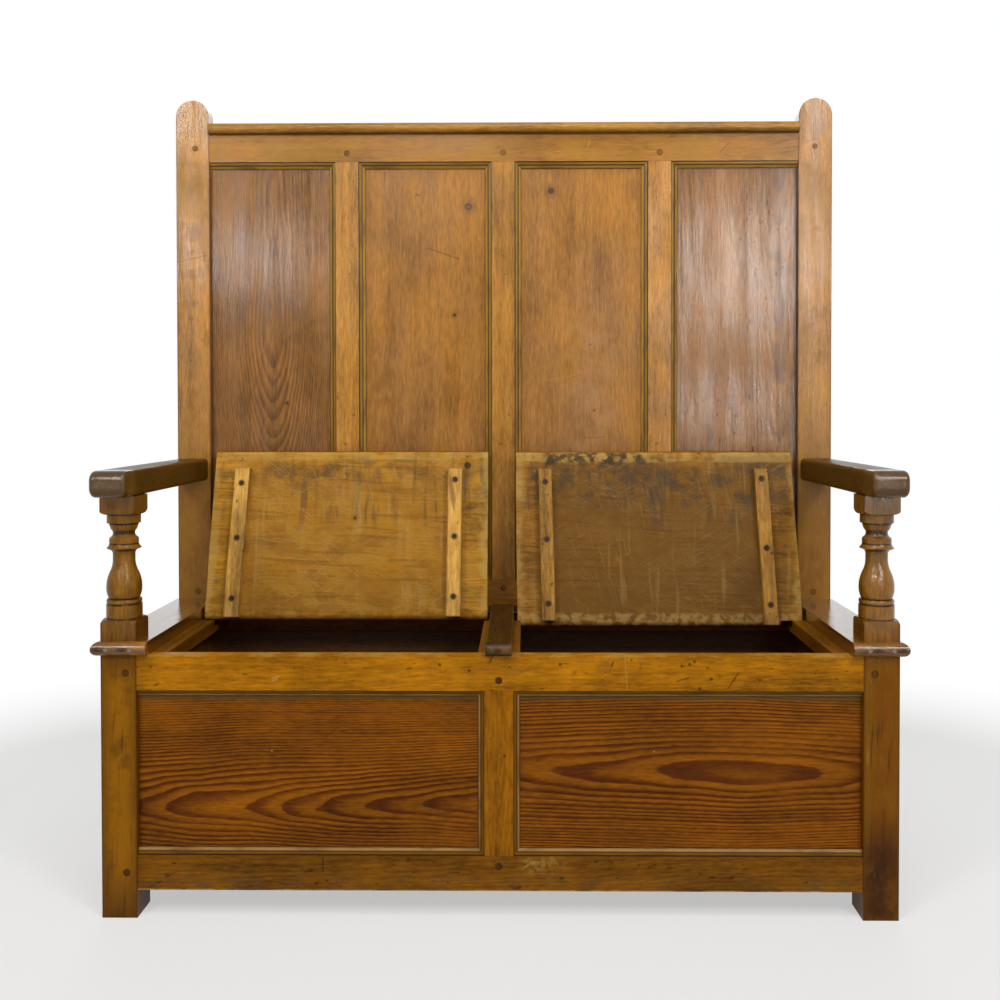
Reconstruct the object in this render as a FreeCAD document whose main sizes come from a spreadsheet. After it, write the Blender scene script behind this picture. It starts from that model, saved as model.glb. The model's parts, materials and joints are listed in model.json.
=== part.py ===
import FreeCAD, Part
import math
import os
import Sketcher

# Settle bench in pine: a panelled box seat with two lift-up lids, a tall panelled back
# between round-topped posts, and arms carried on turned front posts.
# Frame: origin on the floor under the middle of the overall box, +X to the sitter's left
# as seen from the front (right in a front view), +Y to the back, +Z up. Millimetres.

SIZES = {
    # Overall frame
    "frame_width": 1350,
    "body_depth": 400,
    "post_height": 1502,
    "post_width": 68,
    "post_thickness": 30,
    "leg_size": 60,
    # Seat boards and lids
    "seat_top": 472,
    "board_thickness": 24,
    "seat_overhang": 13,
    "end_board_width": 93,
    "rear_board_depth": 58,
    "rear_arris": 2,
    "cap_width": 44,
    "bearer_width": 72,
    "bearer_height": 45,
    "bearer_tenon": 7,
    "bearer_tenon_low": 28,
    "bearer_tenon_high": 8,
    "ledge_reach": 25,
    "ledge_thickness": 25,
    "lid_front_overhang": 10.5,
    "lid_seat_gap": 0.4,
    "left_lid_rear_gap": 11.5,
    "left_lid_outer_gap_rear": 2.5,
    "left_lid_outer_gap_front": 7.5,
    "left_lid_inner_gap_rear": 7,
    "left_lid_inner_gap_front": 8,
    "left_lid_tail": 16,
    "right_lid_rear_gap": 3.5,
    "right_lid_outer_gap_rear": 2.5,
    "right_lid_outer_gap_front": 13.5,
    "right_lid_inner_gap_rear": 8,
    "right_lid_inner_gap_front": 3,
    "right_lid_tail": 27,
    "right_lid_lean_angle": 11,
    "lid_rest_gap": 0.5,
    "tail_notch_length": 45,
    "tail_notch_height": 12,
    "relief_gap": 0.6,
    # Lid battens, screws and pivot pins
    "left_batten_width": 29,
    "right_batten_width": 26,
    "batten_thickness": 17,
    "batten_front_gap": 2,
    "left_outer_batten_front": 64.5,
    "left_outer_batten_rear": 56.5,
    "left_outer_batten_end": 5,
    "left_outer_screw_front": 32,
    "left_outer_screw_shift": -4.5,
    "left_outer_screw_rear": 36.5,
    "left_inner_batten_front": 67.5,
    "left_inner_batten_rear": 68,
    "left_inner_batten_end": 7,
    "left_inner_screw_front": 25,
    "left_inner_screw_shift": -2,
    "left_inner_screw_rear": 38.5,
    "right_outer_batten_front": 75.5,
    "right_outer_batten_rear": 65,
    "right_outer_batten_end": 4,
    "right_outer_screw_front": 21,
    "right_outer_screw_shift": 13.5,
    "right_outer_screw_rear": 38.5,
    "right_inner_batten_front": 54.5,
    "right_inner_batten_rear": 61.5,
    "right_inner_batten_end": 12,
    "right_inner_screw_front": 27,
    "right_inner_screw_shift": -5.5,
    "right_inner_screw_rear": 32.5,
    "screw_head_radius": 4.5,
    "screw_head_height": 3,
    "screw_shank_radius": 2,
    "screw_length": 32,
    "screw_sink": 1,
    "slot_width": 1,
    "slot_depth": 1,
    "pin_radius": 4,
    "pin_play": 0.08,
    "pin_in_lid": 22,
    "pin_hole_extra": 0.5,
    "pin_in_board": 30,
    "pin_in_cap": 16,
    # Rails, muntins and panels
    "rail_thickness": 24,
    "rail_setback": 1.5,
    "base_clearance": 47.5,
    "base_rail_height": 60,
    "front_muntin_width": 50,
    "front_moulding": 10.5,
    "crest_drop": 48,
    "crest_height": 22,
    "crest_projection": 14,
    "back_top_rail_height": 57,
    "seat_rail_rise": 40,
    "seat_rail_height": 106,
    "back_muntin_width": 48,
    "lower_muntin_width": 60,
    "back_moulding": 13.5,
    "quirk_depth": 2.5,
    "quirk_width": 1.5,
    "panel_recess": 10,
    "panel_thickness": 8,
    "panel_ease": 0.2,
    "panel_play": 0.5,
    "groove_depth": 9,
    # Tenons and pegs
    "tenon_thickness": 8,
    "tenon_shoulder": 10,
    "front_tenon": 30,
    "back_tenon": 45,
    "side_tenon": 20,
    "muntin_tenon": 28,
    "muntin_shoulder": 10,
    "peg_radius": 5,
    "peg_proud": 0.3,
    "leg_peg_inset": 18,
    "leg_peg_length": 34,
    "rail_peg_setback": 18,
    "post_peg_setback": 25,
    "left_post_peg_inset": 40,
    "right_post_peg_inset": 35,
    "side_peg_length": 20,
    "rear_peg_length": 15,
    "cap_peg_setback": 12,
    "cap_peg_length": 50,
    # Arms and turned posts
    "arm_top": 763,
    "arm_thickness": 45,
    "arm_width": 62,
    "arm_reach": 48,
    "arm_nose": 17,
    "arm_round": 8,
    "arm_tenon_width": 32,
    "arm_tenon_height": 26,
    "arm_tenon_length": 18,
    "leg_tenon_radius": 13,
    "leg_tenon_length": 26,
    "low_block": 22.5,
    "low_shoulder": 13.5,
    "base_length": 23.5,
    "base_radius": 29.6,
    "base_quirk": 1.2,
    "ring_radius": 27.8,
    "ring_length": 8,
    "vase_foot_radius": 24.8,
    "belly_radius": 29.3,
    "vase_shoulder_radius": 22.2,
    "neck_radius": 18.4,
    "high_block": 20,
    "high_shoulder": 12,
    "collar_radius": 27.8,
    "collar_length": 15.2,
    "collar_quirk_radius": 22.6,
    "collar_quirk": 2,
    "high_band_top_radius": 24.4,
    "high_band_low_radius": 21.2,
    "high_band_length": 9,
    "cove_length": 13.7,
    "low_band_radius": 24.2,
    "low_band_top_radius": 22.4,
    "low_band_round": 2.5,
    "low_band_length": 8,
    "low_band_quirk": 1,
    "flare_radius": 28.8,
    "flare_length": 7,
    "flare_lip": 1.6,
    "flare_under_radius": 26,
    "low_cove": 9.5,
    "neck_length": 9.5,
    "vase_neck_length": 17.5,
    "vase_shoulder_length": 29.5,
    # Nosing strips and their nails
    "nail_head_radius": 3.5,
    "nail_head_height": 1.5,
    "nail_head_proud": 0.6,
    "nail_shank_radius": 1.5,
    "nail_length": 36,
    "nail_outer_inset": 14,
    "nail_inner_inset": 54,
    # Box floor
    "floor_underside": 82,
    "floor_thickness": 14,
    "floor_gap": 0.5,
    "floor_bearer_width": 26,
    "floor_bearer_height": 20,
}

# Bend of a side, as its height over its chord: a half circle, a quarter circle and softer bends.
HALF_ROUND = 0.5
QUARTER_ROUND = 0.2071
OVOLO = 0.13
RING_BEND = 0.16
HIGH_COVE_BEND = 0.28
LOW_COVE_BEND = 0.2
FLARE_BEND = 0.07
SHOULDER_BEND = 0.2
BELLY_BEND = 0.06
VASE_NECK_BEND = 0.05
# Greatest radius that the lathe leaves on a square post, as a share of its side.
CORNER_SHARE = 0.75
BACK_BAYS = 4
FLOOR_BOARDS = ("front", "middle", "rear")

doc = FreeCAD.newDocument("settle_bench")
nodes = []


class Size:
    """A length or angle worked out from the sheet, as an expression and as its value now."""

    def __init__(self, text, value):
        self.text = text
        self.value = value

    def __add__(self, other):
        other = to_size(other)
        return Size(f"({self.text} + {other.text})", self.value + other.value)

    def __sub__(self, other):
        other = to_size(other)
        return Size(f"({self.text} - {other.text})", self.value - other.value)

    def __mul__(self, other):
        other = to_size(other)
        return Size(f"({self.text} * {other.text})", self.value * other.value)

    def __truediv__(self, other):
        other = to_size(other)
        return Size(f"({self.text} / {other.text})", self.value / other.value)

    def __radd__(self, other):
        return to_size(other) + self

    def __rsub__(self, other):
        return to_size(other) - self

    def __rmul__(self, other):
        return to_size(other) * self

    def __neg__(self):
        return Size(f"(0 - {self.text})", -self.value)


def to_size(length):
    if isinstance(length, Size):
        return length
    return Size(str(length), length)


def arcsine(ratio):
    return Size(f"(asin({ratio.text}) / 1deg)", math.degrees(math.asin(ratio.value)))


def sine(angle):
    return Size(f"sin({angle.text})", math.sin(math.radians(angle.value)))


def make_sheet():
    sheet = doc.addObject("Spreadsheet::Sheet", "Sizes")
    for row, (alias, number) in enumerate(SIZES.items(), start=1):
        sheet.set(f"A{row}", alias)
        sheet.set(f"B{row}", str(number))
        sheet.setAlias(f"B{row}", alias)
    doc.recompute()
    return {alias: Size(f"Sizes.{alias}", float(sheet.get(alias))) for alias in SIZES}


def bind(thing, path, length):
    thing.setExpression(path, to_size(length).text)


def place(thing, x=0, y=0, z=0):
    for axis, length in zip("xyz", (x, y, z)):
        bind(thing, f"Placement.Base.{axis}", length)


def keep(name, thing):
    """Mark a finished sub-part and give it the name that its file takes."""
    thing.Label = name
    nodes.append(thing)
    return thing


def block(name, low, high):
    """A box between its lowest and highest corners."""
    piece = doc.addObject("Part::Box", name)
    for side, start, end in zip(("Length", "Width", "Height"), low, high):
        bind(piece, side, to_size(end) - start)
    place(piece, *low)
    return piece


ROD_TURNS = {
    "x": FreeCAD.Rotation(FreeCAD.Vector(0, 1, 0), 90),
    "y": FreeCAD.Rotation(FreeCAD.Vector(1, 0, 0), -90),
    "z": FreeCAD.Rotation(),
}


def rod(name, axis, start, radius, length):
    """A round rod that runs from its start along +X, +Y or +Z."""
    piece = doc.addObject("Part::Cylinder", name)
    piece.Placement = FreeCAD.Placement(FreeCAD.Vector(), ROD_TURNS[axis])
    bind(piece, "Radius", radius)
    bind(piece, "Height", length)
    place(piece, *start)
    return piece


def fuse(name, pieces):
    whole = doc.addObject("Part::MultiFuse", name)
    whole.Shapes = pieces
    whole.Refine = True
    return whole


def group(name, pieces):
    whole = doc.addObject("Part::Compound", name)
    whole.Links = pieces
    return whole


def cut(name, base, tools):
    carved = doc.addObject("Part::Cut", name)
    carved.Base = base
    carved.Tool = tools[0] if len(tools) == 1 else fuse(name + "_cutters", tools)
    carved.Refine = True
    return carved


def overlap(name, first, second):
    common = doc.addObject("Part::Common", name)
    common.Base = first
    common.Tool = second
    return common


def mirrored(name, source):
    """The same piece on the other side of the middle plane."""
    copy = doc.addObject("Part::Mirroring", name)
    copy.Source = source
    copy.Base = (0, 0, 0)
    copy.Normal = (1, 0, 0)
    return copy


def add_sketch(body, role):
    plane = next(item for item in body.Origin.OriginFeatures if item.Role == role)
    sketch = body.newObject("Sketcher::SketchObject", body.Name + "_sketch")
    sketch.AttachmentSupport = [(plane, "")]
    sketch.MapMode = "FlatFace"
    return sketch


def pin_point(sketch, part, point, x=None, y=None):
    """Hold a point of the sketch at its distances from the origin."""
    for kind, axis, length in (("DistanceX", -2, x), ("DistanceY", -1, y)):
        if length is None:
            continue
        length = to_size(length)
        if length.text == "0":
            sketch.addConstraint(Sketcher.Constraint("PointOnObject", part, point, axis))
            continue
        number = sketch.addConstraint(Sketcher.Constraint(kind, -1, 1, part, point, length.value))
        bind(sketch, f"Constraints[{number}]", length)


def outline(sketch, corners, swap=False):
    """Draw a closed outline. A corner is (x, y) or (x, y, bow): the bow bends the side that
    leaves it, to the left when positive, and is the bend's height over its chord."""
    sides = []
    for corner in corners:
        x, y, bow = (*corner, 0)[:3]
        sides.append((to_size(y), to_size(x), -bow) if swap else (to_size(x), to_size(y), bow))
    ends = []
    for index, (x, y, bow) in enumerate(sides):
        next_x, next_y, _ = sides[(index + 1) % len(sides)]
        start = FreeCAD.Vector(x.value, y.value, 0)
        end = FreeCAD.Vector(next_x.value, next_y.value, 0)
        left = FreeCAD.Vector(start.y - end.y, end.x - start.x, 0)
        middle = (start + end) * 0.5 + left * bow
        if bow > 0:
            sketch.addGeometry(Part.Arc(end, middle, start), False)
        elif bow < 0:
            sketch.addGeometry(Part.Arc(start, middle, end), False)
        else:
            sketch.addGeometry(Part.LineSegment(start, end), False)
        ends.append((2, 1) if bow > 0 else (1, 2))
    for index, (x, y, bow) in enumerate(sides):
        after = (index + 1) % len(sides)
        sketch.addConstraint(Sketcher.Constraint("Coincident", index, ends[index][1], after, ends[after][0]))
        pin_point(sketch, index, ends[index][0], x, y)
        if bow:
            next_x, next_y, _ = sides[after]
            share = (bow * bow - 0.25) / (2 * bow)
            if abs(next_y.value - y.value) >= abs(next_x.value - x.value):
                pin_point(sketch, index, 3, x=(x + next_x) / 2 - (next_y - y) * share)
            else:
                pin_point(sketch, index, 3, y=(y + next_y) / 2 + (next_x - x) * share)


def pad(name, role, corners, length, swap=False):
    """A body with one padded outline on an origin plane. XZ outlines are padded towards -Y."""
    body = doc.addObject("PartDesign::Body", name)
    sketch = add_sketch(body, role)
    outline(sketch, corners, swap)
    feature = body.newObject("PartDesign::Pad", name + "_pad")
    feature.Profile = sketch
    bind(feature, "Length", length)
    return body


def edges_where(feature, wanted):
    """Names of a feature's edges whose middle point meets a test."""
    return [f"Edge{number}" for number, edge in enumerate(feature.Shape.Edges, start=1)
            if wanted(edge.CenterOfMass)]


def reverse(path):
    """The same run of corners walked the other way."""
    bows = [(*corner, 0)[2] for corner in path]
    return [(*path[i][:2], -bows[i - 1] if i else 0) for i in range(len(path) - 1, -1, -1)]


def grooved(edge, way):
    """Square edge of a rail with its panel groove, from the face to the back; way is 1 or -1."""
    bottom = edge - way * s["groove_depth"]
    return [(0, edge), (groove_front, edge), (groove_front, bottom),
            (groove_back, bottom), (groove_back, edge), (s["rail_thickness"], edge)]


def moulded(arris, way, width):
    """Edge with a quirk, an ovolo and a panel groove, from the face to the back."""
    edge = arris + way * width
    quirk = [(0, arris), (s["quirk_depth"], arris),
             (s["quirk_depth"], arris + way * s["quirk_width"], way * OVOLO)]
    return quirk + grooved(edge, way)[1:]


def square(edge):
    return [(0, edge), (s["rail_thickness"], edge)]


def section(high_edge, low_edge):
    """Closed outline of a rail or muntin from its two edges."""
    return high_edge + reverse(low_edge)


s = make_sheet()

# Main planes
half_width = s["frame_width"] / 2
overall_depth = s["arm_reach"] + s["body_depth"] + s["post_thickness"]
front = s["arm_reach"] - overall_depth / 2
back = front + s["body_depth"]
rear = back + s["post_thickness"]
front_face = front + s["rail_setback"]
back_face = back + s["rail_setback"]
side_face = -half_width + s["rail_setback"]
leg_inside = half_width - s["leg_size"]
leg_rear = front + s["leg_size"]
post_inside = half_width - s["post_width"]
front_rail_rear = front_face + s["rail_thickness"]
rail_top = s["seat_top"] - s["board_thickness"]
groove_front = s["panel_recess"] - s["panel_ease"]
groove_back = groove_front + s["panel_thickness"] + 2 * s["panel_ease"]
tenon_front = (s["rail_thickness"] - s["tenon_thickness"]) / 2
tenon_back = tenon_front + s["tenon_thickness"]

# Heights of the face arrises that the mouldings start from
low_arris = s["base_clearance"] + s["base_rail_height"]
high_arris = rail_top - s["base_rail_height"]
crest_top = s["post_height"] - s["crest_drop"]
crest_low = crest_top - s["crest_height"]
back_high_arris = crest_low - s["back_top_rail_height"]
seat_rail_top = s["seat_top"] + s["seat_rail_rise"]
seat_rail_low = seat_rail_top - s["seat_rail_height"]

# Seat lines
seat_front = front - s["seat_overhang"]
board_inner_edge = half_width + s["seat_overhang"] - s["end_board_width"]
rear_board_front = back_face - s["rear_board_depth"]
lid_front = front - s["lid_front_overhang"]
lid_thickness = s["board_thickness"] - s["lid_seat_gap"]
lid_round = lid_thickness / 2
pin_height = s["seat_top"] - lid_round
cap_side = s["cap_width"] / 2


def bar(name, low, high):
    """Tenon bar through the middle of a rail's thickness: its ends are the tenons."""
    return block(name + "_tenons", low, high)


def muntin_blank(name, width, moulding, face, low, high, x=0, plain=False):
    """Muntin between two rails: moulded sides mitred into the rails, back shoulders square,
    and a tenon at each end. low and high are the arrises of the rails it meets."""
    half = width / 2
    side = half + moulding
    edges = (grooved(half, 1), grooved(-half, -1)) if plain else (
        moulded(half, 1, moulding), moulded(-half, -1, moulding))
    stick = pad(name + "_stick", "XY_Plane", section(*edges), high - low, swap=True)
    place(stick, x, face, low)
    if plain:
        solid = stick
    else:
        shape = [(-half, low), (half, low), (side, low + moulding), (side, high - moulding),
                 (half, high), (-half, high), (-side, high - moulding), (-side, low + moulding)]
        front_part = pad(name + "_mitres", "XZ_Plane", shape, s["panel_recess"])
        place(front_part, x, face + s["panel_recess"])
        back_part = block(name + "_back", (x - side, face + s["panel_recess"], low + moulding),
                          (x + side, face + s["rail_thickness"], high - moulding))
        solid = overlap(name + "_shouldered", stick, fuse(name + "_room", [front_part, back_part]))
    tenons = bar(name, (x - half + s["muntin_shoulder"], face + tenon_front, low - s["muntin_tenon"]),
                 (x + half - s["muntin_shoulder"], face + tenon_back, high + s["muntin_tenon"]))
    return fuse(name + "_blank", [solid, tenons])


def long_rail(name, half, face, low, high, edges, tenon):
    """Rail along X with a tenon at each end; low and high bound its plain face."""
    stick = pad(name + "_stick", "YZ_Plane", section(*edges), 2 * half)
    place(stick, -half, face)
    tenons = bar(name, (-half - tenon, face + tenon_front, low + s["tenon_shoulder"]),
                 (half + tenon, face + tenon_back, high - s["tenon_shoulder"]))
    return fuse(name + "_blank", [stick, tenons])


def side_rail(name, low, high, edges):
    """Left side rail along Y from the front post to the back post."""
    stick = pad(name + "_stick", "XZ_Plane", section(*edges), back - leg_rear)
    place(stick, side_face, back)
    tenons = bar(name, (side_face + tenon_front, leg_rear - s["side_tenon"], low + s["tenon_shoulder"]),
                 (side_face + tenon_back, back + s["side_tenon"], high - s["tenon_shoulder"]))
    return fuse(name + "_blank", [stick, tenons])


def panel(name, low, high, across="y"):
    """Flat panel in its grooves. It stands on the lower groove and has play on its other edges.
    low and high give the visible opening along the two wide ways and the rail face across."""
    reach = s["groove_depth"] - s["panel_play"]
    bottom = low[2] - s["groove_depth"]
    top = high[2] + reach
    inner = s["panel_recess"]
    outer = inner + s["panel_thickness"]
    if across == "y":
        return block(name, (low[0] - reach, low[1] + inner, bottom), (high[0] + reach, low[1] + outer, top))
    return block(name, (low[0] + inner, low[1] - reach, bottom), (low[0] + outer, high[1] + reach, top))


def groove_tool(name, low, high, across="y"):
    """Room that the panels' edges take in the posts at both ends of a row of panels."""
    depth = s["groove_depth"]
    if across == "y":
        return block(name, (low[0] - depth, low[1] + groove_front, low[2] - depth),
                     (high[0] + depth, low[1] + groove_back, high[2] + depth))
    return block(name, (low[0] + groove_front, low[1] - depth, low[2] - depth),
                 (low[0] + groove_back, high[1] + depth, high[2] + depth))


# Pegs that pin the joints
def pegs_along_y(name, places, face, length):
    return [rod(f"{name}_{number}", "y", (x, face - s["peg_proud"], z),
                s["peg_radius"], length + s["peg_proud"])
            for number, (x, z) in enumerate(places, start=1)]


leg_peg_x = leg_inside + s["leg_peg_inset"]
left_post_peg = -half_width + s["left_post_peg_inset"]
right_post_peg = half_width - s["right_post_peg_inset"]
high_rail_middle = rail_top - s["base_rail_height"] / 2
low_rail_middle = low_arris - s["base_rail_height"] / 2
muntin_pitch = (2 * post_inside + s["back_muntin_width"] + 2 * s["back_moulding"]) / BACK_BAYS
muntin_places = {"left": -muntin_pitch, "centre": to_size(0), "right": muntin_pitch}

front_pegs = pegs_along_y("front_leg_peg", [(x, z) for x in (-leg_peg_x, leg_peg_x)
                                            for z in (high_rail_middle, low_rail_middle)],
                          front, s["leg_peg_length"])
front_pegs += pegs_along_y("front_muntin_peg", [(0, high_arris + s["rail_peg_setback"]),
                                                (0, low_arris - s["rail_peg_setback"])],
                           front_face, s["rail_thickness"])
front_peg_group = keep("front_frame_pegs", group("front_pegs", front_pegs))

post_peg_heights = (crest_low - s["back_top_rail_height"] / 2, seat_rail_top - s["post_peg_setback"],
                    low_rail_middle)
left_post_pegs = pegs_along_y("left_post_peg", [(left_post_peg, z) for z in post_peg_heights],
                              back, s["post_thickness"])
right_post_pegs = pegs_along_y("right_post_peg", [(right_post_peg, z) for z in post_peg_heights],
                               back, s["post_thickness"])
back_pegs = left_post_pegs + right_post_pegs
back_pegs += pegs_along_y("back_muntin_peg", [(x, z) for x in muntin_places.values()
                                              for z in (back_high_arris + s["rail_peg_setback"],
                                                        seat_rail_top - s["rail_peg_setback"])],
                          back_face, s["rail_thickness"])
back_pegs += [rod(f"lower_muntin_peg_{number}", "y",
                  (0, back_face + s["rail_thickness"] - s["rear_peg_length"], z),
                  s["peg_radius"], s["rear_peg_length"])
              for number, z in enumerate((seat_rail_low + s["rail_peg_setback"],
                                          low_arris - s["rail_peg_setback"]), start=1)]
back_peg_group = keep("back_frame_pegs", group("back_pegs", back_pegs))

side_peg_places = [(y, z) for y in (leg_rear - s["side_tenon"] / 2, back + s["side_tenon"] / 2)
                   for z in (high_rail_middle, low_rail_middle)]
side_pegs_left = group("side_pegs_left", [
    rod(f"side_peg_{number}", "x", (-half_width - s["peg_proud"], y, z), s["peg_radius"],
        s["side_peg_length"] + s["peg_proud"]) for number, (y, z) in enumerate(side_peg_places, start=1)])
side_peg_group = keep("side_frame_pegs", group("side_pegs", [
    side_pegs_left, mirrored("side_pegs_right", side_pegs_left)]))

# Front frame: two rails, a muntin and two panels between the turned front posts
muntin = cut("front_muntin_piece", muntin_blank(
    "front_muntin", s["front_muntin_width"], s["front_moulding"], front_face, low_arris, high_arris),
    front_pegs[-2:])
keep("front_muntin", muntin)
lid_bearer = fuse("centre_bearer_piece", [
    block("centre_bearer_stick", (-s["bearer_width"] / 2, front_rail_rear, rail_top - s["bearer_height"]),
          (s["bearer_width"] / 2, back_face, rail_top)),
    block("centre_bearer_tenons",
          (-cap_side, front_rail_rear - s["bearer_tenon"], rail_top - s["bearer_tenon_low"]),
          (cap_side, back_face + s["bearer_tenon"], rail_top - s["bearer_tenon_high"]))])
cap_peg_low = s["seat_top"] + s["peg_proud"] - s["cap_peg_length"]
cap_peg = rod("cap_peg_piece", "z", (0, front + s["cap_peg_setback"], cap_peg_low),
              s["peg_radius"], s["cap_peg_length"])
keep("cap_strip_peg", cap_peg)
front_top_rail = keep("front_top_rail", cut("front_top_rail_piece", long_rail(
    "front_top_rail", leg_inside, front_face, high_arris, rail_top,
    (square(rail_top), moulded(high_arris, -1, s["front_moulding"])), s["front_tenon"]),
    [muntin, lid_bearer, cap_peg] + front_pegs))
front_bottom_rail = keep("front_bottom_rail", cut("front_bottom_rail_piece", long_rail(
    "front_bottom_rail", leg_inside, front_face, s["base_clearance"], low_arris,
    (moulded(low_arris, 1, s["front_moulding"]), square(s["base_clearance"])), s["front_tenon"]),
    [muntin] + front_pegs))
front_low_edge = low_arris + s["front_moulding"]
front_high_edge = high_arris - s["front_moulding"]
front_panel_side = s["front_muntin_width"] / 2 + s["front_moulding"]
front_panel_left = keep("front_panel_left", panel(
    "front_panel", (-leg_inside, front_face, front_low_edge),
    (-front_panel_side, front_face, front_high_edge)))
keep("front_panel_right", mirrored("front_panel_mirror", front_panel_left))
front_grooves = groove_tool("front_grooves", (-leg_inside, front_face, front_low_edge),
                            (leg_inside, front_face, front_high_edge))

# Side frames between the front and back posts, the left one built and the right one mirrored
side_top_rail = cut("side_top_rail_piece", side_rail(
    "side_top_rail", high_arris, rail_top,
    (square(rail_top), moulded(high_arris, -1, s["front_moulding"]))), [side_pegs_left])
side_bottom_rail = cut("side_bottom_rail_piece", side_rail(
    "side_bottom_rail", s["base_clearance"], low_arris,
    (moulded(low_arris, 1, s["front_moulding"]), square(s["base_clearance"]))), [side_pegs_left])
side_panel = panel("side_panel", (side_face, leg_rear, front_low_edge),
                   (side_face, back, front_high_edge), "x")
side_grooves = groove_tool("side_grooves", (side_face, leg_rear, front_low_edge),
                           (side_face, back, front_high_edge), "x")
for name, piece in (("side_top_rail", side_top_rail), ("side_bottom_rail", side_bottom_rail),
                    ("side_panel", side_panel)):
    keep(name + "_left", piece)
    keep(name + "_right", mirrored(name + "_mirror", piece))

# Back frame: top rail, seat rail and bottom rail, with three upper muntins and one below
muntins = {}
for where, x in muntin_places.items():
    blank = muntin_blank(f"back_muntin_{where}", s["back_muntin_width"], s["back_moulding"],
                         back_face, seat_rail_top, back_high_arris, x)
    muntins[where] = keep(f"back_muntin_{where}", cut(f"back_muntin_{where}_piece", blank, [back_peg_group]))
lower_muntin = keep("lower_back_muntin", cut("lower_back_muntin_piece", muntin_blank(
    "lower_back_muntin", s["lower_muntin_width"], 0, back_face, low_arris, seat_rail_low, plain=True),
    [back_peg_group]))
upper_muntins = list(muntins.values())
back_top_blank = long_rail(
    "back_top_rail", post_inside, back_face, back_high_arris, crest_low,
    (square(crest_low), moulded(back_high_arris, -1, s["back_moulding"])), s["back_tenon"])
back_seat_blank = long_rail(
    "back_seat_rail", post_inside, back_face, seat_rail_low, seat_rail_top,
    (moulded(seat_rail_top, 1, s["back_moulding"]), grooved(seat_rail_low, -1)), s["back_tenon"])
back_bottom_blank = long_rail(
    "back_bottom_rail", post_inside, back_face, s["base_clearance"], low_arris,
    (grooved(low_arris, 1), square(s["base_clearance"])), s["back_tenon"])
keep("back_top_rail", cut("back_top_rail_piece", back_top_blank, upper_muntins + [back_peg_group]))
keep("back_seat_rail", cut("back_seat_rail_piece", back_seat_blank,
                           upper_muntins + [lower_muntin, lid_bearer, back_peg_group]))
keep("back_bottom_rail", cut("back_bottom_rail_piece", back_bottom_blank, [lower_muntin, back_peg_group]))
back_low_edge = seat_rail_top + s["back_moulding"]
back_high_edge = back_high_arris - s["back_moulding"]
muntin_side = s["back_muntin_width"] / 2 + s["back_moulding"]
outer_panel = panel("outer_back_panel", (-post_inside, back_face, back_low_edge),
                    (-muntin_pitch - muntin_side, back_face, back_high_edge))
inner_panel = panel("inner_back_panel", (-muntin_pitch + muntin_side, back_face, back_low_edge),
                    (-muntin_side, back_face, back_high_edge))
lower_panel = panel("lower_panel", (-post_inside, back_face, low_arris),
                    (-s["lower_muntin_width"] / 2, back_face, seat_rail_low))
keep("back_panel_outer_left", outer_panel)
keep("back_panel_inner_left", inner_panel)
keep("back_panel_inner_right", mirrored("inner_panel_mirror", inner_panel))
keep("back_panel_outer_right", mirrored("outer_panel_mirror", outer_panel))
keep("lower_back_panel_left", lower_panel)
keep("lower_back_panel_right", mirrored("lower_panel_mirror", lower_panel))
back_grooves = groove_tool("back_grooves", (-post_inside, back_face, back_low_edge),
                           (post_inside, back_face, back_high_edge))
lower_grooves = groove_tool("lower_grooves", (-post_inside, back_face, low_arris),
                            (post_inside, back_face, seat_rail_low))

# Crest capping along the top rail, with a half-round nose
crest_depth = s["crest_projection"] + s["rail_thickness"]
crest_round = s["crest_height"] / 2
crest = pad("crest_capping_piece", "YZ_Plane", [
    (crest_round, 0, HALF_ROUND), (crest_round, s["crest_height"]),
    (crest_depth, s["crest_height"]), (crest_depth, 0)], 2 * post_inside)
place(crest, -post_inside, back_face - s["crest_projection"], crest_low)
keep("crest_capping", crest)


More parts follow.
